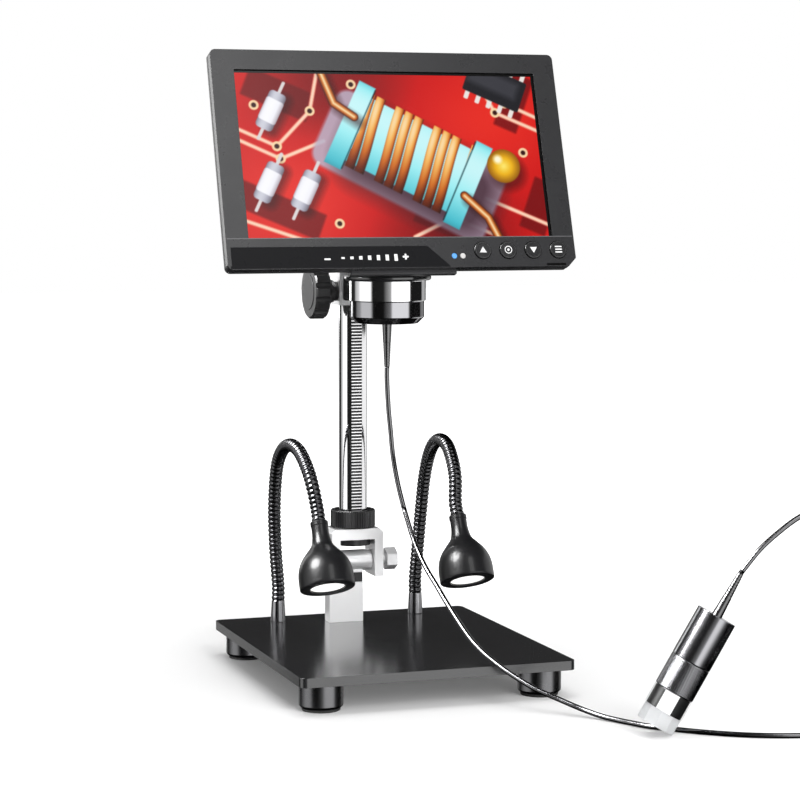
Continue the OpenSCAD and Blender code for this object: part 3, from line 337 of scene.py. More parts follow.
# ---------- yoke, washer, bolt and nut ----------
# The fork that holds the post is milled from one piece of aluminium. A hexagon bolt through its
# two cheeks and the barrel clamps the tilt against a black washer.
chrome = surface("chrome", (0.93, 0.93, 0.94), 0.09, metal=1.0, shade=0.01, rough_swing=0.02)
worked("yoke", 0.0008, blasted_aluminium)
worked("tilt_washer", 0.0003, black_anodised)
worked("tilt_nut", 0.0005, screw_steel)
worked("tilt_bolt", 0.0006, turned_aluminium)

# ---------- post, rack and cap ----------
# A ground and chromed steel post with a milled groove, and the hob-cut rack that is pressed
# into the groove. A black nut under the yoke's bridge and a plastic cap close its ends.
rack_front, rack_root = 0.07035, 0.0718
rack_steel = surface("rack_steel", (0.86, 0.86, 0.87), 0.3, metal=0.7, shade=0.05, grain=0.15)
tree, steel = rack_steel.node_tree, skin_of(rack_steel)["Base Color"]
# Painted shade: the rack's steel turns near-black towards the roots of its teeth, where shade
# falls.
depth = step(tree, "ShaderNodeSeparateXYZ", "Y",
             Vector=step(tree, "ShaderNodeTexCoord", "Object"))
root_shade = step(tree, "ShaderNodeMapRange", Value=depth, From_Min=rack_front + 0.00025,
           From_Max=rack_root - 0.0005)
tree.links.new(step(tree, "ShaderNodeMix", "Result", data_type="RGBA", Factor=root_shade,
                    A=steel.links[0].from_socket, B=(0.03, 0.03, 0.032, 1)), steel)
gear_steel = surface("gear_steel", (0.6, 0.6, 0.61), 0.3, metal=0.9, shade=0.08, grain=0.3)
black_plastic = surface("black_plastic", (0.02, 0.02, 0.02), 0.45, shade=0.2, grain=0.4)
post_y, groove_reach, bridge_thick = 0.08, 0.0102, 0.0083
post_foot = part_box("yoke")[1][2] - bridge_thick
groove_bright = surface("groove_bright", (0.85, 0.85, 0.86), 0.4, metal=0.3, shade=0.03)


def post_finish(p, normal):
    """Black for the nut under the bridge, bright for the milled groove, chrome for the rest."""
    if p.z < post_foot:
        return 1
    return 2 if math.hypot(p.x, p.y - post_y) < groove_reach and abs(normal.z) < 0.5 else 0


worked("post", 0.0, chrome, black_anodised, groove_bright, pick=post_finish)
worked("rack", 0.0, rack_steel, angle=25)
worked("post_cap", 0.0006, black_plastic)

# ---------- lock collar ----------
# A ring of black anodised aluminium on the post, over the yoke. Its core is turned with a
# shallow recess on top, and its rim is knurled straight.


def finished(b, name, *finishes, angle=35.0):
    """An object from a bmesh, with faces outwards and its sharp edges kept."""
    bmesh.ops.remove_doubles(b, verts=b.verts, dist=1e-6)
    bmesh.ops.recalc_face_normals(b, faces=b.faces)
    shade_edges(b, angle)
    return dress(made(name, b), *finishes)


def turned(name, profile, place, *finishes, sides=64, pick=None):
    """A turned piece. The profile is a closed outline of (radius, height) pairs in millimetres,
    in the frame place; it may touch the axis. With several finishes, pick gives the number of
    the finish at an angle in degrees."""
    b = bmesh.new()
    rings = [[b.verts.new((r * mm * math.cos(a), r * mm * math.sin(a), z * mm))
              for a in ([2 * math.pi * k / sides for k in range(sides)] if r else [0.0])]
             for r, z in profile]
    for i, ring in enumerate(rings):
        after = rings[(i + 1) % len(rings)]
        for k in range(sides):
            m = (k + 1) % sides
            corners = dict.fromkeys((ring[k % len(ring)], ring[m % len(ring)],
                                     after[m % len(after)], after[k % len(after)]))
            if len(corners) > 2:
                f = b.faces.new(list(corners))
                f.material_index = int(pick(360 * (k + 0.5) / sides)) if pick else 0
    b.transform(place)
    return finished(b, name, *finishes)


def tree_for(name, **sizes):
    """A geometry tree with named inputs. A size is a socket type, such as Float."""
    tree = bpy.data.node_groups.new(name, "GeometryNodeTree")
    face = tree.interface
    face.new_socket("Geometry", in_out="INPUT", socket_type="NodeSocketGeometry")
    for label, kind in sizes.items():
        face.new_socket(label, in_out="INPUT", socket_type="NodeSocket" + kind)
    face.new_socket("Geometry", in_out="OUTPUT", socket_type="NodeSocketGeometry")
    return tree, tree.nodes.new("NodeGroupInput").outputs


def close_tree(tree, geometry, finish):
    """Realize Instances, smooth faces and Set Material, and the tree's way out."""
    plain = step(tree, "GeometryNodeRealizeInstances", Geometry=geometry)
    smooth = step(tree, "GeometryNodeSetShadeSmooth", Geometry=plain)
    painted = step(tree, "GeometryNodeSetMaterial", Geometry=smooth, Material=finish)
    tree.links.new(painted, tree.nodes.new("NodeGroupOutput").inputs[0])


def grown(name, tree, place, finish, spots=(), edges=(), angle=35.0, **sizes):
    """The plain mesh that a tree makes at these sizes, in the frame place. A tree that starts
    from points or a line is given them as spots and edges."""
    seed = bpy.data.meshes.new("seed")
    seed.from_pydata(spots, edges, [])
    host = mesh_object(name + "_seed", seed)
    modifier = host.modifiers.new("tree", "NODES")
    modifier.node_group = tree
    sizes["Finish"] = finish
    for socket in tree.interface.items_tree:
        if socket.in_out == "INPUT" and socket.name in sizes:
            modifier[socket.identifier] = sizes[socket.name]
    lookup = bpy.context.evaluated_depsgraph_get()
    mesh = bpy.data.meshes.new_from_object(host.evaluated_get(lookup))
    bpy.data.objects.remove(host)
    b = bmesh.new()
    b.from_mesh(mesh)
    b.transform(place)
    return finished(b, name, finish, angle=angle)


# The ring's cross-section is walked once, from 0 to 19: the bottom face, the knurled rim in 16
# steps, the top face and the bore. The knurl is where two slanted rows of ridges are both high.
knurl, given = tree_for("knurled_ring", Outside="Float", Inside="Float", Length="Float",
                        Ridges="Int", Rows="Int", Slant="Float", Depth="Float",
                        Chamfer="Float", Finish="Material")
around = calc(knurl, "MULTIPLY", given["Ridges"], 6)
net = step(knurl, "GeometryNodeMeshGrid", Size_X=1.0, Size_Y=19.0,
           Vertices_X=calc(knurl, "ADD", around, 1),
           Vertices_Y=calc(knurl, "MULTIPLY_ADD", given["Rows"], 19, 1))
at = knurl.nodes.new("ShaderNodeSeparateXYZ")
knurl.links.new(step(knurl, "GeometryNodeInputPosition"), at.inputs[0])
turn = calc(knurl, "ADD", at.outputs["X"], 0.5)
walk = calc(knurl, "ADD", at.outputs["Y"], 9.5)


def share(tree, value, start, end):
    """0 before start, 1 after end, and even between."""
    return step(tree, "ShaderNodeMapRange", Value=value, From_Min=float(start),
                From_Max=float(end))


rise = calc(knurl, "SUBTRACT", share(knurl, walk, 1, 17), share(knurl, walk, 18, 19))
out = calc(knurl, "SUBTRACT", share(knurl, walk, 0, 1), share(knurl, walk, 17, 18))
on_rim = calc(knurl, "MULTIPLY", calc(knurl, "GREATER_THAN", walk, 0.99),
              calc(knurl, "LESS_THAN", walk, 17.01))
ridge = []
for way in (1, -1):
    phase = calc(knurl, "MULTIPLY_ADD", turn, given["Ridges"],
                 calc(knurl, "MULTIPLY", calc(knurl, "MULTIPLY", rise, given["Slant"]), way))
    ridge.append(calc(knurl, "ABSOLUTE", calc(knurl, "MULTIPLY_ADD",
                                              calc(knurl, "FRACT", phase), 2, -1)))
valley = calc(knurl, "MULTIPLY", calc(knurl, "MAXIMUM", *ridge), given["Depth"])
edge = calc(knurl, "MULTIPLY", calc(knurl, "MINIMUM", rise, calc(knurl, "SUBTRACT", 1, rise)),
            given["Length"])
cut = calc(knurl, "MAXIMUM", valley, calc(knurl, "SUBTRACT", given["Chamfer"], edge))
reach = calc(knurl, "SUBTRACT",
             calc(knurl, "MULTIPLY_ADD", out, calc(knurl, "SUBTRACT", given["Outside"],
                                                   given["Inside"]), given["Inside"]),
             calc(knurl, "MULTIPLY", cut, on_rim))
angle = calc(knurl, "MULTIPLY", turn, 2 * math.pi)
spot = step(knurl, "ShaderNodeCombineXYZ", X=calc(knurl, "MULTIPLY", reach,
                                                  calc(knurl, "COSINE", angle)),
            Y=calc(knurl, "MULTIPLY", reach, calc(knurl, "SINE", angle)),
            Z=calc(knurl, "MULTIPLY", rise, given["Length"]))
close_tree(knurl, step(knurl, "GeometryNodeMergeByDistance", Distance=2e-6,
                       Geometry=step(knurl, "GeometryNodeSetPosition", Geometry=net,
                                     Position=spot)), given["Finish"])

collar_low, collar_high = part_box("lock_collar")
collar_h = (collar_high[2] - collar_low[2]) / mm
in_collar = Matrix.Translation((0, post_y, collar_low[2]))
core = turned("collar_core", [(10.56, 0.2), (14.6, 0.2), (14.6, collar_h - 1.5),
                              (10.56, collar_h - 1.5)], in_collar, black_anodised)
stand_for(core, "lock_collar")
rim = grown("collar_rim", knurl, in_collar, black_anodised, angle=50, Outside=0.0166,
            Inside=0.0140, Length=collar_h * mm, Ridges=56, Rows=2, Slant=0.0, Depth=0.0005,
            Chamfer=0.0007)
stand_for(rim, "lock_collar")

# ---------- gooseneck sockets ----------
# Turned sockets in dark chrome, held by a nut below the plate.
dark_chrome = surface("dark_chrome", (0.28, 0.28, 0.29), 0.14, metal=1.0, shade=0.05)
worked("gooseneck_ferrules", 0.0005, dark_chrome)
worked("ferrule_nuts", 0.0004, screw_steel)

# ---------- goosenecks ----------
# A coiled steel hose under a tight, glossy black skin, with one round rib for each turn of the
# coil. It stands in its socket and is pushed into the neck of its lamp.
neck_pitch, neck_radius = 0.0034, 0.005
neck_foot = Vector((54, 94, 41.5))
neck_end = Vector((52, -4, 113))
lamp_tilt, lamp_length = math.radians(25.5), 0.049
neck_steps = [(0, 0, 0), (0, 0, 12), (2, -0.5, 36.5), (3.6, -3, 63.5), (4.3, -8, 86.5),
              (4.7, -16.5, 104.5), (4.3, -30, 116), (3.5, -47, 120.5), (2.5, -64, 118),
              (1.3, -78, 109), (0, -88, 97)]
neck_route = ([tuple(neck_foot + Vector(p)) for p in neck_steps]
              + [tuple(neck_end + far * Vector((0, math.sin(lamp_tilt), math.cos(lamp_tilt))))
                 for far in (10, 0, -3)])
neck_skin = surface("neck_skin", (0.075, 0.075, 0.078), 0.26, metal=1.0, shade=0.1, grain=0.03,
                    coat=0.1)

hose, given = tree_for("ribbed_hose", Pitch="Float", Radius="Float", Groove="Float",
                       Finish="Material")
centre = step(hose, "GeometryNodeResampleCurve", mode="LENGTH",
              Curve=step(hose, "GeometryNodeMeshToCurve", Mesh=given["Geometry"]),
              Length=calc(hose, "DIVIDE", given["Pitch"], 6))
travel = hose.nodes.new("GeometryNodeSplineParameter").outputs["Length"]
wave = calc(hose, "MULTIPLY_ADD", calc(hose, "FRACT", calc(hose, "DIVIDE", travel,
                                                           given["Pitch"])), 2, -1)
swell = calc(hose, "SUBTRACT", 1, calc(hose, "MULTIPLY", calc(hose, "POWER", wave, 2),
                                       given["Groove"]))
profile = step(hose, "GeometryNodeCurvePrimitiveCircle", Resolution=20, Radius=given["Radius"])
close_tree(hose, step(hose, "GeometryNodeCurveToMesh", Curve=centre, Profile_Curve=profile,
                      Scale=swell, Fill_Caps=True), given["Finish"])

for side, name in ((-1, "left"), (1, "right")):
    line = [Vector((side * p.x, p.y, p.z)) for p in smooth_route(neck_route, 10)]
    piece = grown(name + "_hose", hose, Matrix.Identity(4), neck_skin, line,
                  [(i, i + 1) for i in range(len(line) - 1)], angle=80, Pitch=neck_pitch,
                  Radius=neck_radius, Groove=0.17)
    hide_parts(name + "_gooseneck")
    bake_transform(piece)

# ---------- lamp heads ----------
# Spun bells in satin black lacquer, with a swaged neck that grips the hose. A frosted window
# sits in each mouth, in front of its light.
lamp_lacquer = surface("lamp_lacquer", (0.010, 0.010, 0.011), 0.34, shade=0.05, grain=0.01,
                       specular=0.3, coat=0.12)
lamp_window = lay_on(surface("lamp_window", (0.95, 0.95, 0.93), 0.4, shade=0.02),
                     Emission_Color=(1, 1, 0.97, 1), Emission_Strength=0.9)
bell_curve = smooth_route([(19.5, 0, 1.4), (19.5, 0, 7.9), (19, 0, 13), (17.5, 0, 18),
                           (14.8, 0, 22.7), (11.2, 0, 27), (7.8, 0, 31.3), (6.5, 0, 36),
                           (6, 0, 40)], 6)
bell = ([(12.4, 0), (18.7, 0), (19.2, 0.25), (19.45, 0.8)]
        + [(p.x / mm, p.z / mm) for p in bell_curve]
        + [(6, 44), (6, 45.2), (6.3, 45.6), (6.3, 48.2), (5.9, 48.7), (5.1, 48.7), (5.1, 30),
           (9.5, 20), (14.6, 12), (14.6, 5), (12.4, 5)])
for side, name in ((-1, "left"), (1, "right")):
    in_lamp = (Matrix.Translation(Vector((side * neck_end.x, neck_end.y, neck_end.z)) * mm)
               @ Matrix.Rotation(-lamp_tilt, 4, "X")
               @ Matrix.Translation((0, 0, -lamp_length)))
    stand_for(turned(name + "_bell", bell, in_lamp, lamp_lacquer, sides=96),
              name + "_lamp_shell")
    worked(name + "_lamp_lens", 0.0003, lamp_window)

# ---------- carriage ----------
# A milled block that runs on the post, with a brass liner, black shaft bushes and the arm that
# carries the head. A black cover plate, held by four hexagon screws, closes its front.


def prisms(name, outlines, place, low, high, *finishes):
    """Closed plates on the XY plane of a frame. Each outline is (x, y) pairs in millimetres."""
    b = bmesh.new()
    for outline in outlines:
        under, over = ([b.verts.new((x * mm, y * mm, z * mm)) for x, y in outline]
                       for z in (low, high))
        b.faces.new(under[::-1])
        b.faces.new(over)
        for k in range(len(outline)):
            b.faces.new((under[k - 1], under[k], over[k], over[k - 1]))
    b.transform(place)
    return finished(b, name, *finishes)


def rounded(width, height, corner, x=0.0, y=0.0):
    """The outline of a rectangle with round corners."""
    return [(x + sx * (width / 2 - corner) + corner * math.cos(math.radians(a)),
             y + sy * (height / 2 - corner) + corner * math.sin(math.radians(a)))
            for sx, sy, start in ((1, 1, 0), (-1, 1, 90), (-1, -1, 180), (1, -1, 270))
            for a in range(start, start + 91, 15)]


pegs, given = tree_for("pegs", Sides="Int", Foot="Float", Head="Float", Height="Float",
                       Finish="Material")
close_tree(pegs, step(pegs, "GeometryNodeInstanceOnPoints",
                      Points=step(pegs, "GeometryNodeMeshToPoints", Mesh=given["Geometry"]),
                      Instance=step(pegs, "GeometryNodeMeshCone", Vertices=given["Sides"],
                                    Radius_Bottom=given["Foot"], Radius_Top=given["Head"],
                                    Depth=given["Height"])), given["Finish"])


def pegs_at(name, spots, place, finish, sides, foot, head, height, low=0.0):
    """A cone frustum on each (x, y) spot of a frame, from height low up. All in millimetres."""
    return grown(name, pegs, place, finish, [(x * mm, y * mm, low * mm) for x, y in spots],
                 Sides=sides, Foot=foot * mm, Head=head * mm, Height=height * mm)


liner_brass = surface("liner_brass", (0.6, 0.45, 0.2), 0.3, metal=1.0, shade=0.1)
dark_steel = surface("dark_steel", (0.08, 0.08, 0.085), 0.3, metal=0.8, shade=0.2)
carriage_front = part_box("carriage_block")[0][1]
carriage_mid = (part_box("carriage_block")[0][2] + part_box("carriage_block")[1][2]) / 2
worked("carriage_block", 0.0007, blasted_aluminium)
worked("bearing_liner", 0.0, liner_brass)
worked("pinion_bushes", 0.0003, black_plastic)
worked("arm_screws", 0.0003, screw_steel)
worked("head_arm", 0.0007, black_anodised)
on_carriage = Matrix(((1, 0, 0, 0), (0, 0, -1, carriage_front), (0, 1, 0, carriage_mid),
                      (0, 0, 0, 1)))
cover_screws = [(x, y) for x in (-11.5, 11.5) for y in (-6, 6)]
stand_for(prisms("pinion_cover", [rounded(29, 18, 2)], on_carriage, -0.1, 1.2, black_anodised),
          "carriage_block")
stand_for(pegs_at("cover_screw_heads", cover_screws, on_carriage, dark_steel, 24, 1.9, 1.6, 1.2,
                  1.1), "carriage_block")
# Painted shade: a flat black hexagon on each screw head stands for its socket.
stand_for(pegs_at("cover_screw_sockets", cover_screws, on_carriage, black_plastic, 6, 0.8, 0.8,
                  0.1, 2.25), "carriage_block")

# ---------- focus drive ----------
# A hobbed pinion on a steel shaft with a moulded knob at each end. A matt grey disc is pressed
# into the face of each knob.
knob_grip = surface("knob_grip", (0.022, 0.022, 0.023), 0.38, shade=0.15, grain=0.3)
knob_disc = surface("knob_disc", (0.10, 0.10, 0.102), 0.5, shade=0.06, grain=0.3)
worked("pinion_shaft", 0.0, gear_steel)
worked("left_knob", 0.0008, knob_grip)
worked("right_knob", 0.0008, knob_grip)
worked("knob_caps", 0.0003, knob_disc)

# ---------- head and dock ----------
# The camera housing behind the screen, and under it the dock: a turned band in bright chrome and
# a cup in darker chrome below a gloss black flange. A ribbed rubber sleeve guards the cord.
bright_chrome = surface("bright_chrome", (0.95, 0.95, 0.96), 0.08, metal=1.0, shade=0.01,
                        rough_swing=0.01)
grey_chrome = surface("grey_chrome", (0.36, 0.36, 0.375), 0.12, metal=1.0, shade=0.02)
gloss_black = surface("gloss_black", (0.012, 0.012, 0.013), 0.12, shade=0.1, coat=1.0)
sleeve_rubber = surface("sleeve_rubber", (0.15, 0.15, 0.152), 0.25, metal=1.0, shade=0.15,
                        grain=0.05)
board_green = surface("board_green", (0.02, 0.16, 0.07), 0.4, shade=0.2, shade_scale=600)
band_top = 0.2826
worked("head_housing", 0.0006, black_anodised)
worked("hinge_pin", 0.0003, screw_steel)
worked("dock_flange", 0.0005, bright_chrome, gloss_black,
       pick=lambda p, normal: p.z > band_top - 0.0001)
worked("dock_cup", 0.0005, grey_chrome)
worked("dock_board", 0.0, board_green)


def ribbed_sleeve(thick, thin, length, ribs, seat):
    """The outline of a tapered sleeve with round grooves in its thin half, from its seat at
    height -seat up to its thin end."""
    outline = [(0, -seat), (thick, -seat), (thick, 0)]
    for i in range(1, 49):
        along = i / 48
        groove = 0.28 * max(0.0, -math.cos(2 * math.pi * ribs * along)) * (along > 0.45)
        outline.append((thick + (thin - thick) * along - groove, length * along))
    return outline + [(0, length)]


sleeve = 3.5, 2.05, sleeve_length / mm, 16
under_dock = Matrix.Translation((0, 0, 0.252)) @ Matrix.Rotation(math.pi, 4, "X")
stand_for(turned("dock_sleeve", ribbed_sleeve(*sleeve, 4), under_dock, sleeve_rubber, sides=32),
          "dock_relief")

# ---------- screen ----------
# A moulded bezel and back cover, clipped together around a backlit panel. The bezel carries a
# gloss strip with a printed scale, two lights and four round push buttons.
slope = math.radians(18)
face_up = Vector((0, math.sin(slope), math.cos(slope)))
face_out = Vector((0, -math.cos(slope), math.sin(slope)))
face_foot, screen_thick = (0, -0.0432, 0.2925), 0.025
on_face = Matrix.Translation(face_foot) @ Matrix(
    ((1, 0, 0), (0, face_up.y, face_out.y), (0, face_up.z, face_out.z))).to_4x4()
from_world = on_face.inverted()
display_w, display_h, display_low = 222.7, 122.0, 22.3
button_at = {"up": 57.4, "select": 76.4, "down": 95.4, "menu": 114.4}
button_height, button_top, print_thick = 12.1, 1.15, 0.08

bezel_plastic = surface("bezel_plastic", (0.021, 0.021, 0.0225), 0.28, shade=0.04,
                        specular=0.42)
# Near-black without gloss: painted shade on the walls of the display's opening, the vent slots,
# the speaker holes and the back screws' sockets, and the black of the port door.
black_and_painted_shade = surface("black_and_painted_shade", (0.003, 0.003, 0.003), 0.5, shade=0.1, specular=0.05)
cover_plastic = surface("cover_plastic", (0.028, 0.028, 0.03), 0.42, shade=0.08, grain=0.4)
strip_gloss = surface("strip_gloss", (0.010, 0.010, 0.011), 0.28, shade=0.1, specular=0.05)
panel_black = surface("panel_black", (0.004, 0.004, 0.004), 0.2, shade=0.1, specular=0.2)
battery_film = surface("battery_film", (0.03, 0.08, 0.3), 0.35, shade=0.1)
button_black = surface("button_black", (0.016, 0.016, 0.017), 0.25, shade=0.1)
print_white = surface("print_white", (0.82, 0.82, 0.82), 0.5, shade=0.03)


def recess_wall(p, normal):
    """The side and upper walls of the opening for the display, which are painted near-black as
    shade; the bottom wall keeps the bezel's finish.
    """
    q = from_world @ p / mm
    return (q.z < -0.001 and abs(q.x) < display_w / 2 + 0.05
            and display_low + 0.05 < q.y < display_low + display_h + 0.05
            and abs(normal.dot(face_out)) < 0.5)


# Painted shade: the side and upper walls of the display's opening are near-black.
worked("front_bezel", 0.0005, bezel_plastic, black_and_painted_shade, pick=recess_wall)
worked("back_cover", 0.0012, cover_plastic)
worked("screen_bracket", 0.0003, screw_steel)
worked("lcd_panel", 0.0, panel_black)
worked("control_strip", 0.0, strip_gloss)
stand_for(prisms("strip_lip", [[(-125.5, 0.5), (32.6, 0.5), (31, 2.55), (-125.5, 2.55)]], on_face,
                 -0.05, 0.03, strip_gloss), "control_strip")
# Painted highlight: a thin grey strip along the bottom edge of the display's opening stands for
# the light caught by that edge.
edge_highlight_grey = surface("edge_highlight_grey", (0.10, 0.10, 0.105), 0.3, shade=0.05)
stand_for(prisms("display_edge_highlight", [[(-126.6, display_low - 0.6), (126.6, display_low - 0.6),
                                   (126.6, display_low), (-126.6, display_low)]], on_face,
                 -0.05, 0.04, edge_highlight_grey), "front_bezel")
stand_for(prisms("port_door", [rounded(14.7, 1.7, 0.5, 112, 1.5)], on_face, -0.05, 0.04,
                 black_and_painted_shade), "front_bezel")
worked("main_board", 0.0, board_green)
worked("battery_pack", 0.0006, battery_film)

# The scale on the strip: a dash for less, bars that grow, and a cross for more.
bars, given = tree_for("growing_bars", Count="Int", Pitch="Float", Width="Float", Low="Float",
                       High="Float", Thick="Float", Finish="Material")
row = step(bars, "GeometryNodeMeshLine", Count=given["Count"],
           Offset=step(bars, "ShaderNodeCombineXYZ", X=given["Pitch"]))
grade = calc(bars, "DIVIDE", step(bars, "GeometryNodeInputIndex"),
             calc(bars, "SUBTRACT", given["Count"], 1))
tall = calc(bars, "MULTIPLY_ADD", grade, calc(bars, "SUBTRACT", given["High"], given["Low"]),
            given["Low"])
close_tree(bars, step(bars, "GeometryNodeInstanceOnPoints", Points=row,
                      Instance=step(bars, "GeometryNodeMeshCube", Size=(1.0, 1.0, 1.0)),
                      Scale=step(bars, "ShaderNodeCombineXYZ", X=given["Width"], Y=tall,
                                 Z=given["Thick"])), given["Finish"])
stand_for(grown("scale_bars", bars, on_face @ Matrix.Translation((-0.0455, 0.0076, 0)),
                print_white, Count=7, Pitch=0.0064, Width=0.0024, Low=0.0013, High=0.0048,
                Thick=0.0001), "control_strip")
stand_for(prisms("scale_ends", [rounded(4.6, 1.2, 0.5, -56.7, 6.8), rounded(4.4, 1.3, 0.5, 0, 8.1),
                                rounded(1.3, 1.6, 0.4, 0, 9.4), rounded(1.3, 1.6, 0.4, 0, 6.8)],
                 on_face, 0, 0.05, print_white), "control_strip")

# The push buttons are turned caps with a symbol printed on each.
symbols = {"up": [[(-2.6, -1.8), (2.6, -1.8), (0, 2.4)]],
           "down": [[(-2.6, 1.8), (0, -2.4), (2.6, 1.8)]],
           "menu": [rounded(5.2, 0.9, 0.4, 0, y) for y in (-2, 0, 2)],
           "select": [rounded(1.8, 1.8, 0.85)]}
button_rim = surface("button_rim", (0.035, 0.035, 0.036), 0.25, shade=0.1, coat=0.6)
for name, x in button_at.items():
    on_button = on_face @ Matrix.Translation((x * mm, button_height * mm, 0))
    worked("button_" + name, 0.0006, button_black)
    stand_for(prisms(name + "_symbol", symbols[name], on_button, button_top,
                     button_top + print_thick, print_white), "button_" + name)
    stand_for(turned(name + "_rim", [(5.3, 1.1), (5.75, 1.1), (5.75, 1.24), (5.3, 1.24)],
                     on_button, button_rim), "button_" + name)
ring = [(radius, button_top + high) for radius, high in
        ((2.2, 0), (2.8, 0), (2.8, print_thick), (2.2, print_thick))]
on_select = on_face @ Matrix.Translation((button_at["select"] * mm, button_height * mm, 0))
stand_for(turned("select_ring", ring, on_select, print_white, sides=40), "button_select")

# Two lights sit in dark rings: blue for power and white for charge.
for name, x, tint in (("blue", 36.1, (0.09, 0.30, 0.66)), ("white", 42.4, (0.50, 0.49, 0.48))):
    glow = lay_on(surface(name + "_light", tint, 0.3, shade=0.12, shade_scale=900),
                  Emission_Color=tint + (1,), Emission_Strength=0.25)
    stand_for(turned(name + "_light", [(0, -3), (1.95, -3), (1.95, -0.2), (1.5, 0.1), (0.8, 0.22),
                                       (0, 0.25)],
                     on_face @ Matrix.Translation((x * mm, 0.0084, 0)), glow, sides=32),
              "indicator_lights")

# The back has louvres over a flat dark plate that stands for the cooling slots, two groups of
# speaker holes drawn as flat dark discs, and cover screws; the plate, the discs and the screws'
# sockets are painted shade.
on_back = (on_face @ Matrix.Translation((0, 0, -screen_thick))
           @ Matrix.Rotation(math.pi, 4, "Y"))
for side in (-1, 1):
    # Painted shade: a flat near-black plate under the louvres stands for the slots between them.
    stand_for(prisms("vent_field", [rounded(54, 30, 2, side * 55, 120)], on_back, -0.1, 0.1,
                     black_and_painted_shade), "back_cover")
    first_louvre = on_back @ Matrix.Translation(((side * 55 - 24) * mm, 0.120, 0.0003))
    stand_for(grown("vent_louvres", bars, first_louvre, cover_plastic, Count=17, Pitch=0.003,
                    Width=0.0014, Low=0.027, High=0.027, Thick=0.0006), "back_cover")
    # Painted shade: flat near-black discs stand for the speaker holes.
    stand_for(pegs_at("speaker_holes", [(side * 70 + 4 * (i + 0.5 * (j % 2)), 40 + 3.4 * j)
                                        for i in range(-3, 4) for j in range(-2, 3)],
                      on_back, black_and_painted_shade, 12, 0.9, 0.9, 0.1), "back_cover")
back_screws = [(x, y) for x in (-98, 98) for y in (16, 138)]
stand_for(pegs_at("back_screws", back_screws, on_back, dark_steel, 24, 2.4, 2.0, 0.6),
          "back_cover")
# Painted shade: a flat dark hexagon on each screw head stands for its socket.
stand_for(pegs_at("back_screw_sockets", back_screws, on_back, black_and_painted_shade, 6, 1.0, 1.0, 0.1, 0.55),
          "back_cover")

# The picture on the panel: a wound coil and other parts on a red board, drawn from plain shapes
# and kept as one colour for each point of a fine grid.
across, up = 372, 204
picture_w, picture_h = display_w - 2.4, display_h - 2.4
u, v = np.meshgrid(np.linspace(0, picture_w, across + 1), np.linspace(0, picture_h, up + 1))
picture = np.empty(u.shape + (3,))


def inside(distance, blur=0.8):
    return np.clip(0.5 - distance / blur, 0, 1)


def lay(cover, colour):
    picture[:] = picture + cover[..., None] * (np.asarray(colour) - picture)


def turned_axes(x, y, degrees):
    c, s = math.cos(math.radians(degrees)), math.sin(math.radians(degrees))
    return (u - x) * c + (v - y) * s, (v - y) * c - (u - x) * s


def block(x, y, width, height, degrees=0, corner=1.0):
    a, b = turned_axes(x, y, degrees)
    a, b = np.abs(a) - width / 2 + corner, np.abs(b) - height / 2 + corner
    return np.hypot(np.maximum(a, 0), np.maximum(b, 0)) + np.minimum(np.maximum(a, b), 0) - corner


def track(points):
    """Distance to a line through points."""
    far = np.full(u.shape, 999.0)
    for (x0, y0), (x1, y1) in zip(points, points[1:]):
        dx, dy = x1 - x0, y1 - y0
        t = np.clip(((u - x0) * dx + (v - y0) * dy) / (dx * dx + dy * dy), 0, 1)
        far = np.minimum(far, np.hypot(u - x0 - t * dx, v - y0 - t * dy))
    return far


def ramp_of(level, *colours):
    """Colours that follow a level from 0 to 1."""
    stops = np.linspace(0, 1, len(colours))
    return np.stack([np.interp(level, stops, [c[i] for c in colours]) for i in range(3)], axis=-1)


sweep = 0.5 + 0.25 * np.sin(u / 31 + v / 47) + 0.25 * np.sin(v / 23 - u / 58 + 1)
picture[:] = ramp_of(sweep, (0.52, 0.03, 0.05), (0.80, 0.08, 0.08), (0.90, 0.16, 0.12))
for x, y, w, h, degrees in ((30, 104, 50, 22, -24), (24, 20, 64, 20, -24), (205, 100, 44, 18, 66),
                            (150, 6, 60, 14, -24), (216, 22, 20, 40, -24)):
    lay(0.8 * inside(block(x, y, w, h, degrees), 2), (0.42, 0.02, 0.04))
for points in ([(0, 78), (26, 66), (52, 92), (60, 122)], [(0, 70), (28, 57), (60, 70)],
               [(176, 122), (190, 92), (222, 78)], [(186, 122), (198, 99), (222, 88)],
               [(0, 12), (40, -2)], [(120, 0), (150, 14), (196, -6)], [(176, 28), (222, 8)]):
    lay(inside(track(points) - 1.5, 1.2), (0.96, 0.62, 0.52))
    lay(inside(track(points) - 0.8, 1.0), (0.98, 0.84, 0.74))
for x, y in ((26, 66), (52, 92), (28, 57), (190, 92), (198, 99), (150, 14), (12, 96), (208, 62),
             (66, 10), (84, 112)):
    lay(inside(np.hypot(u - x, v - y) - 3.6), (0.97, 0.84, 0.66))
    lay(inside(np.hypot(u - x, v - y) - 1.8), (0.20, 0.05, 0.05))

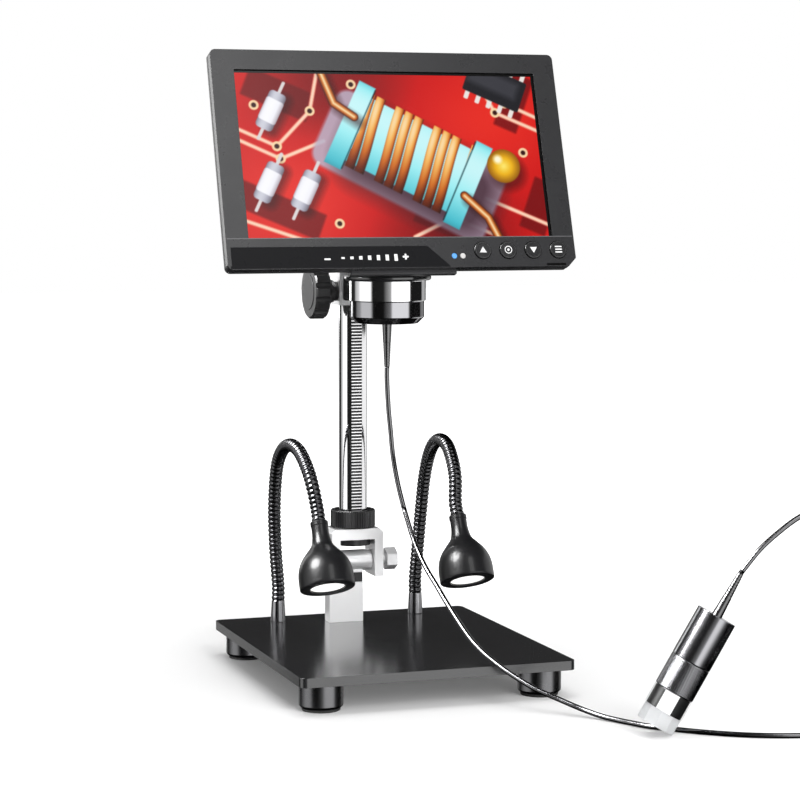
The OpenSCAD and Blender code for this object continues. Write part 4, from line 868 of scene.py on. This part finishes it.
# A drum core of pale blue ferrite lies across the middle, with turns of thick copper wire.
along, over = turned_axes(122, 60, -28)
lay(0.9 * inside(block(122, 52, 136, 62, -28, 10), 3), (0.72, 0.68, 0.76))
lay(0.75 * inside(block(128, 46, 118, 60, -28, 20), 22), (0.20, 0.10, 0.14))
lit = np.clip(0.18 + 0.9 * np.sqrt(np.clip(1 - (over / 36) ** 2, 0, 1))
              * (0.62 + 0.38 * over / 36), 0, 1)
ferrite = ramp_of(lit, (0.05, 0.30, 0.36), (0.28, 0.74, 0.80), (0.62, 0.93, 0.95), (0.97, 1, 1))
body = inside(np.maximum(np.abs(along) - 46, np.abs(over) - 26), 1)
rims = inside(np.maximum(np.abs(np.abs(along) - 47) - 6.5, np.abs(over) - 34), 1)
lay(body, ferrite)
lay(rims, ferrite)
lay(0.7 * inside(np.abs(np.abs(along) - 40.2) - 0.5, 1) * inside(np.abs(over) - 33),
    (0, 0.12, 0.15))
pitch = 7.6
winding = (along + 3.2 * np.sin(over / 30 * 1.3) + 50) / pitch
bow = 2 * (winding % 1) - 1
wired = ((winding.astype(int) % 4) != 3) & (np.abs(along) < 39.5)
wire = np.where(wired, inside(np.maximum(np.abs(bow) * pitch / 2 - 3.4, np.abs(over) - 29.5), 0.8),
                0)
bulge = np.sqrt(np.clip(1 - (over / 31) ** 2, 0, 1))
gleam = np.clip((0.12 + 0.9 * np.sqrt(np.clip(1 - bow * bow, 0, 1)) * (0.35 + 0.65 * bulge)
                 - 0.25 * bow) * (0.68 + 0.42 * over / 31), 0, 1)
lay(wire, ramp_of(gleam, (0.10, 0.03, 0.02), (0.42, 0.15, 0.04), (0.80, 0.42, 0.13),
                  (0.96, 0.72, 0.38), (1, 0.97, 0.88)))
for points in ([(84, 88), (70, 98), (62, 122)], [(160, 30), (176, 14), (182, 0)]):
    far = track(points)
    lay(0.5 * inside(track([(x + 3, y - 4) for x, y in points]) - 4, 6), (0.15, 0.02, 0.03))
    lay(inside(far - 3.3), ramp_of(np.clip(1 - far / 3.3, 0, 1), (0.25, 0.08, 0.03),
                                   (0.78, 0.40, 0.12), (1, 0.90, 0.70)))

# Glass tubes with silver caps, a round yellow part and a black chip stand around it.
for x, y, degrees in ((24, 92, 62), (44, 34, 62), (18, 40, 62)):
    a, b = turned_axes(x, y, degrees)
    lay(0.5 * inside(block(x + 4, y - 3, 34, 13, degrees, 5), 6), (0.15, 0.01, 0.02))
    round_off = np.clip(1 - (b / 7.4) ** 2, 0, 1) * (0.75 + 0.25 * b / 7)
    lay(inside(block(x, y, 48, 2.4, degrees)), (0.86, 0.84, 0.84))
    lay(inside(block(x, y, 30, 13, degrees, 3)), ramp_of(round_off, (0.35, 0.32, 0.36),
                                                         (0.66, 0.66, 0.72), (0.93, 0.94, 0.97)))
    lay(inside(block(x, y, 18, 13.4, degrees, 2)), ramp_of(round_off, (0.62, 0.58, 0.62),
                                                           (0.94, 0.94, 0.97), (1, 1, 1)))
far = np.hypot(u - 192, v - 52)
lay(0.5 * inside(np.hypot(u - 195, v - 47) - 13, 7), (0.15, 0.01, 0.02))
lay(inside(far - 12.5), ramp_of(np.clip(1 - far / 12.5, 0, 1), (0.58, 0.36, 0.03),
                                (0.93, 0.70, 0.10), (1, 0.92, 0.45)))
lay(inside(np.hypot(u - 188, v - 57) - 3, 3), (1, 0.98, 0.85))
for k in range(5):
    lay(inside(block(192 + 8 * (k - 2), 112 - 3.6 * (k - 2), 3.4, 36, -24)), (0.92, 0.90, 0.88))
lay(inside(block(192, 112, 44, 24, -24, 1.5)), (0.12, 0.12, 0.14))
lay(0.6 * inside(block(191, 115, 38, 13, -24, 1.5), 5), (0.30, 0.30, 0.33))

corner = Vector((-display_w / 2 + 0.4, display_low + 0.4, -1.4)) * mm
spots = [tuple(corner + Vector((a * mm, b * mm, 0))) for a, b in zip(u.ravel(), v.ravel())]
wide = across + 1
faces = [(j * wide + i, j * wide + i + 1, (j + 1) * wide + i + 1, (j + 1) * wide + i)
         for j in range(up) for i in range(across)]
edge = (list(range(wide)) + [j * wide + across for j in range(1, up + 1)]
        + [up * wide + i for i in range(across - 1, -1, -1)]
        + [j * wide for j in range(up - 1, 0, -1)])
first = len(spots)
spots += [(spots[i][0], spots[i][1], spots[i][2] - 0.00005) for i in edge]
for k in range(len(edge)):
    m = (k + 1) % len(edge)
    faces.append((edge[k], first + k, first + m, edge[m]))
faces.append(tuple(range(first + len(edge) - 1, first - 1, -1)))
sheet = bpy.data.meshes.new("picture")
sheet.from_pydata(spots, [], faces)
sheet.transform(on_face)
colours = sheet.color_attributes.new("picture", "FLOAT_COLOR", "POINT")
picture = np.clip(picture, 0, 1)
linear = np.where(picture > 0.04045, ((picture + 0.055) / 1.055) ** 2.4, picture / 12.92)
table = np.zeros((len(spots), 4))
table[:first, :3] = linear.reshape(-1, 3)
table[:, 3] = 1
colours.data.foreach_set("color", table.ravel())
backlight = surface("backlight", (0.004, 0.004, 0.004), 0.2, specular=0.15)
lay_on(backlight, Emission_Strength=1.0)
tree = backlight.node_tree
tree.links.new(step(tree, "ShaderNodeAttribute", "Color", attribute_name="picture"),
               skin_of(backlight)["Emission Color"])
stand_for(dress(mesh_object("picture", sheet), backlight), "lcd_panel")

# ---------- hand probe ----------
# A turned barrel in dark chrome with a diamond-knurled focus ring. The tip is a ring of clear
# plastic, below a ring of light and dark panels, with the lens and its board behind it.
probe_chrome = surface("probe_chrome", (0.34, 0.34, 0.355), 0.18, metal=1.0, shade=0.02)
knurl_chrome = surface("knurl_chrome", (0.24, 0.24, 0.25), 0.24, metal=1.0, shade=0.04)
clear_plastic = lay_on(surface("clear_plastic", (0.93, 0.94, 0.95), 0.3, shade=0.02),
                       Transmission_Weight=0.6)
panel_white = surface("panel_white", (0.95, 0.95, 0.95), 0.3, shade=0.01)
panel_dark = surface("panel_dark", (0.006, 0.006, 0.006), 0.3, shade=0.1)
lens_glass = surface("lens_glass", (0.05, 0.06, 0.1), 0.05, coat=1.0)
worked("probe_body", 0.0004, probe_chrome)
worked("probe_lens", 0.0, lens_glass)
worked("probe_board", 0.0, board_green)
stand_for(turned("probe_window", [(11.7, 0), (12.9, 0), (13.2, 0.3), (13.2, 10.8), (11.7, 10.8)],
                 in_probe, clear_plastic, sides=10), "probe_tip")
to_front = in_probe.to_3x3().inverted() @ (eye - probe_tip_at)
panel_turn = math.atan2(to_front.y, to_front.x) - math.radians(22.5)
stand_for(turned("probe_panels", [(11.7, 10.8), (13.2, 10.8), (13.2, 24), (11.7, 24)],
                 in_probe @ Matrix.Rotation(panel_turn, 4, "Z"), panel_white, panel_dark,
                 pick=lambda angle: angle // 45 % 2), "probe_tip")
stand_for(grown("probe_knurl", knurl, in_probe @ Matrix.Translation((0, 0, 0.0243)),
                knurl_chrome, angle=60, Outside=0.01325, Inside=0.0104, Length=0.0217,
                Ridges=64, Rows=6, Slant=16.0, Depth=0.00016, Chamfer=0.0004),
          "probe_focus_ring")
stand_for(turned("probe_sleeve", ribbed_sleeve(*sleeve, 2.8),
                 in_probe @ Matrix.Translation((0, 0, probe_length)), sleeve_rubber, sides=32),
          "probe_relief")

# ---------- studio ----------
# A white sheet on the table, a white room, soft lamps, and a ring of light and dark cards around
# the stand that only reflections see.


def hidden_from(piece, *rays):
    """The piece, which rays of these kinds don't see."""
    for ray in rays:
        setattr(piece, "visible_" + ray, False)
    return piece


def flat_mesh(name, outline):
    """An object of one flat face."""
    piece = mesh_object(name, bpy.data.meshes.new(name))
    piece.data.from_pydata(outline, [], [tuple(range(len(outline)))])
    return piece


floor_reach = 6
floor = flat_mesh("floor", [(x * floor_reach, y * floor_reach, 0)
                            for x, y in ((-1, -1), (1, -1), (1, 1), (-1, 1))])
paper = simple_finish("floor_sheet", Base_Color=(0.8, 0.8, 0.8, 1), Roughness=0.9,
                      Specular_IOR_Level=0.0, Emission_Color=(1, 1, 1, 1))
tree = paper.node_tree
away = step(tree, "ShaderNodeVectorMath", "Value", operation="LENGTH",
            _0=step(tree, "ShaderNodeTexCoord", "Object"))
clear = step(tree, "ShaderNodeMapRange", interpolation_type="SMOOTHSTEP", Value=away,
             From_Min=0.18, From_Max=0.55, To_Min=0.12, To_Max=1.0)
tree.links.new(calc(tree, "MULTIPLY", step(tree, "ShaderNodeLightPath", "Is Camera Ray"), clear),
               skin_of(paper)["Emission Strength"])
dress(hidden_from(floor, "glossy"), paper)

# The room is pure white to the camera, in reflections and through clear pieces, and dimmer as a
# light.
room_light = 0.38
world = bpy.data.worlds.new("room")
scene.world = world
world.use_nodes = True
tree = world.node_tree
camera_ray, glossy_ray, clear_ray = (step(tree, "ShaderNodeLightPath", "Is %s Ray" % kind)
                                     for kind in ("Camera", "Glossy", "Transmission"))
seen = calc(tree, "MAXIMUM", calc(tree, "MAXIMUM", camera_ray, glossy_ray), clear_ray)
background = tree.nodes["Background"].inputs
background["Color"].default_value = (1, 1, 1, 1)
tree.links.new(step(tree, "ShaderNodeMapRange", Value=seen, To_Min=room_light, To_Max=1.0),
               background["Strength"])

# The ring's brightness at angles from the camera's side, in degrees. It fades above and below
# a middle height.
ring_sides, ring_radius, ring_reach, ring_middle = 96, 3.0, 3.2, 0.1
ring = mesh_object("card_ring", bpy.data.meshes.new("card_ring"))
ring.data.from_pydata(
    [(ring_radius * math.cos(2 * math.pi * i / ring_sides),
      ring_radius * math.sin(2 * math.pi * i / ring_sides), z)
     for z in (-ring_reach, ring_reach) for i in range(ring_sides)], [],
    [(i, (i + 1) % ring_sides, ring_sides + (i + 1) % ring_sides, ring_sides + i)
     for i in range(ring_sides)]
    + [tuple(range(ring_sides)), tuple(range(ring_sides, 2 * ring_sides))])
stops = [(-180, 0.035), (-166, 0.035), (-158, 0.4), (-140, 0.4), (-134, 0.02), (-112, 0.02),
         (-106, 0.45), (-92, 0.7), (-84, 1.3), (-52, 1.3), (-44, 0.01), (-10, 0.015), (12, 0.4),
         (17, 1.9), (68, 1.9), (74, 0.01), (124, 0.01), (128, 0.4), (150, 0.4), (156, 0.035),
         (180, 0.035)]
front = math.degrees(math.atan2(eye.y, eye.x))
cards = bpy.data.materials.new("cards")
cards.use_nodes = True
tree = cards.node_tree
tree.nodes.clear()
x, y, z = (step(tree, "ShaderNodeSeparateXYZ", axis, _0=step(tree, "ShaderNodeTexCoord", "Object"))
           for axis in "XYZ")
around = step(tree, "ShaderNodeMapRange", Value=calc(tree, "ARCTAN2", y, x), From_Min=-math.pi,
              From_Max=math.pi)
ramp = tree.nodes.new("ShaderNodeValToRGB")
ramp.color_ramp.interpolation = "LINEAR"
tree.links.new(around, ramp.inputs["Fac"])
levels = sorted((((front + a + 180) % 360) / 360, value) for a, value in stops)
while len(ramp.color_ramp.elements) < len(levels):
    ramp.color_ramp.elements.new(0.5)
for element, (position, value) in zip(ramp.color_ramp.elements, levels):
    element.position = position
    element.color = (value, value, value, 1)
fade = step(tree, "ShaderNodeMapRange", interpolation_type="SMOOTHSTEP", From_Min=0.75,
            From_Max=1.35, To_Min=1.0, To_Max=0.01,
            Value=calc(tree, "ABSOLUTE", calc(tree, "SUBTRACT", z, ring_middle)))
tree.links.new(step(tree, "ShaderNodeEmission", Color=ramp.outputs["Color"], Strength=fade),
               tree.nodes.new("ShaderNodeOutputMaterial").inputs["Surface"])
dress(hidden_from(ring, "camera", "diffuse", "transmission", "shadow"), cards)

# A low white card on the right is seen by the post and not by the dock above it.
low_card = flat_mesh("low_card", [(0.32, -0.1, 0.0), (0.32, 0.3, 0.0), (0.32, 0.3, 0.22),
                                  (0.32, -0.1, 0.22)])

# One round card, high on the left, puts the oval highlight on each lamp bell.
oval_at, oval_radius = Vector((-1.6, -0.1, 1.8)), 0.7
oval = flat_mesh("oval_card", [(oval_radius * math.cos(math.radians(a)),
                                oval_radius * math.sin(math.radians(a)), 0)
                               for a in range(0, 360, 10)])
oval.data.transform(Matrix.Translation(oval_at)
                    @ (Vector((0, 0, 0.1)) - oval_at).to_track_quat("Z", "Y").to_matrix().to_4x4())
for card, strength in ((low_card, 0.9), (oval, 45.0)):
    dress(card, simple_finish(card.name + "_white", Base_Color=(0, 0, 0, 1),
                              Emission_Color=(1, 1, 1, 1), Emission_Strength=strength))
    hidden_from(card, "camera", "diffuse", "transmission", "shadow")

# Each lamp: its place, width, height and watts, and whether reflections show it.
lamp_aim = Vector((0, 0, 0.25))
for name, place, wide, high, power, shown in (
        ("front_box", (0.29, -1.88, 1.95), 0.85, 1.1, 12, True),
        ("front_fill", (0.55, -2.3, 1.0), 1.5, 1.5, 42, False),
        ("rim_strip", (-0.80, 2.05, 0.8), 0.5, 1.4, 6.6, True),
        ("top_lamp", (0.0, 0.2, 1.9), 1.4, 1.4, 20, False)):
    lamp = bpy.data.lights.new(name, "AREA")
    lamp.shape = "RECTANGLE"
    lamp.energy = power
    lamp.size = wide
    lamp.size_y = high
    box = bpy.data.objects.new(name, lamp)
    box.location = place
    box.rotation_euler = (lamp_aim - box.location).to_track_quat("-Z", "Y").to_euler()
    box.visible_camera = False
    box.visible_glossy = shown
    scene.collection.objects.link(box)

scene.view_settings.view_transform = "Standard"
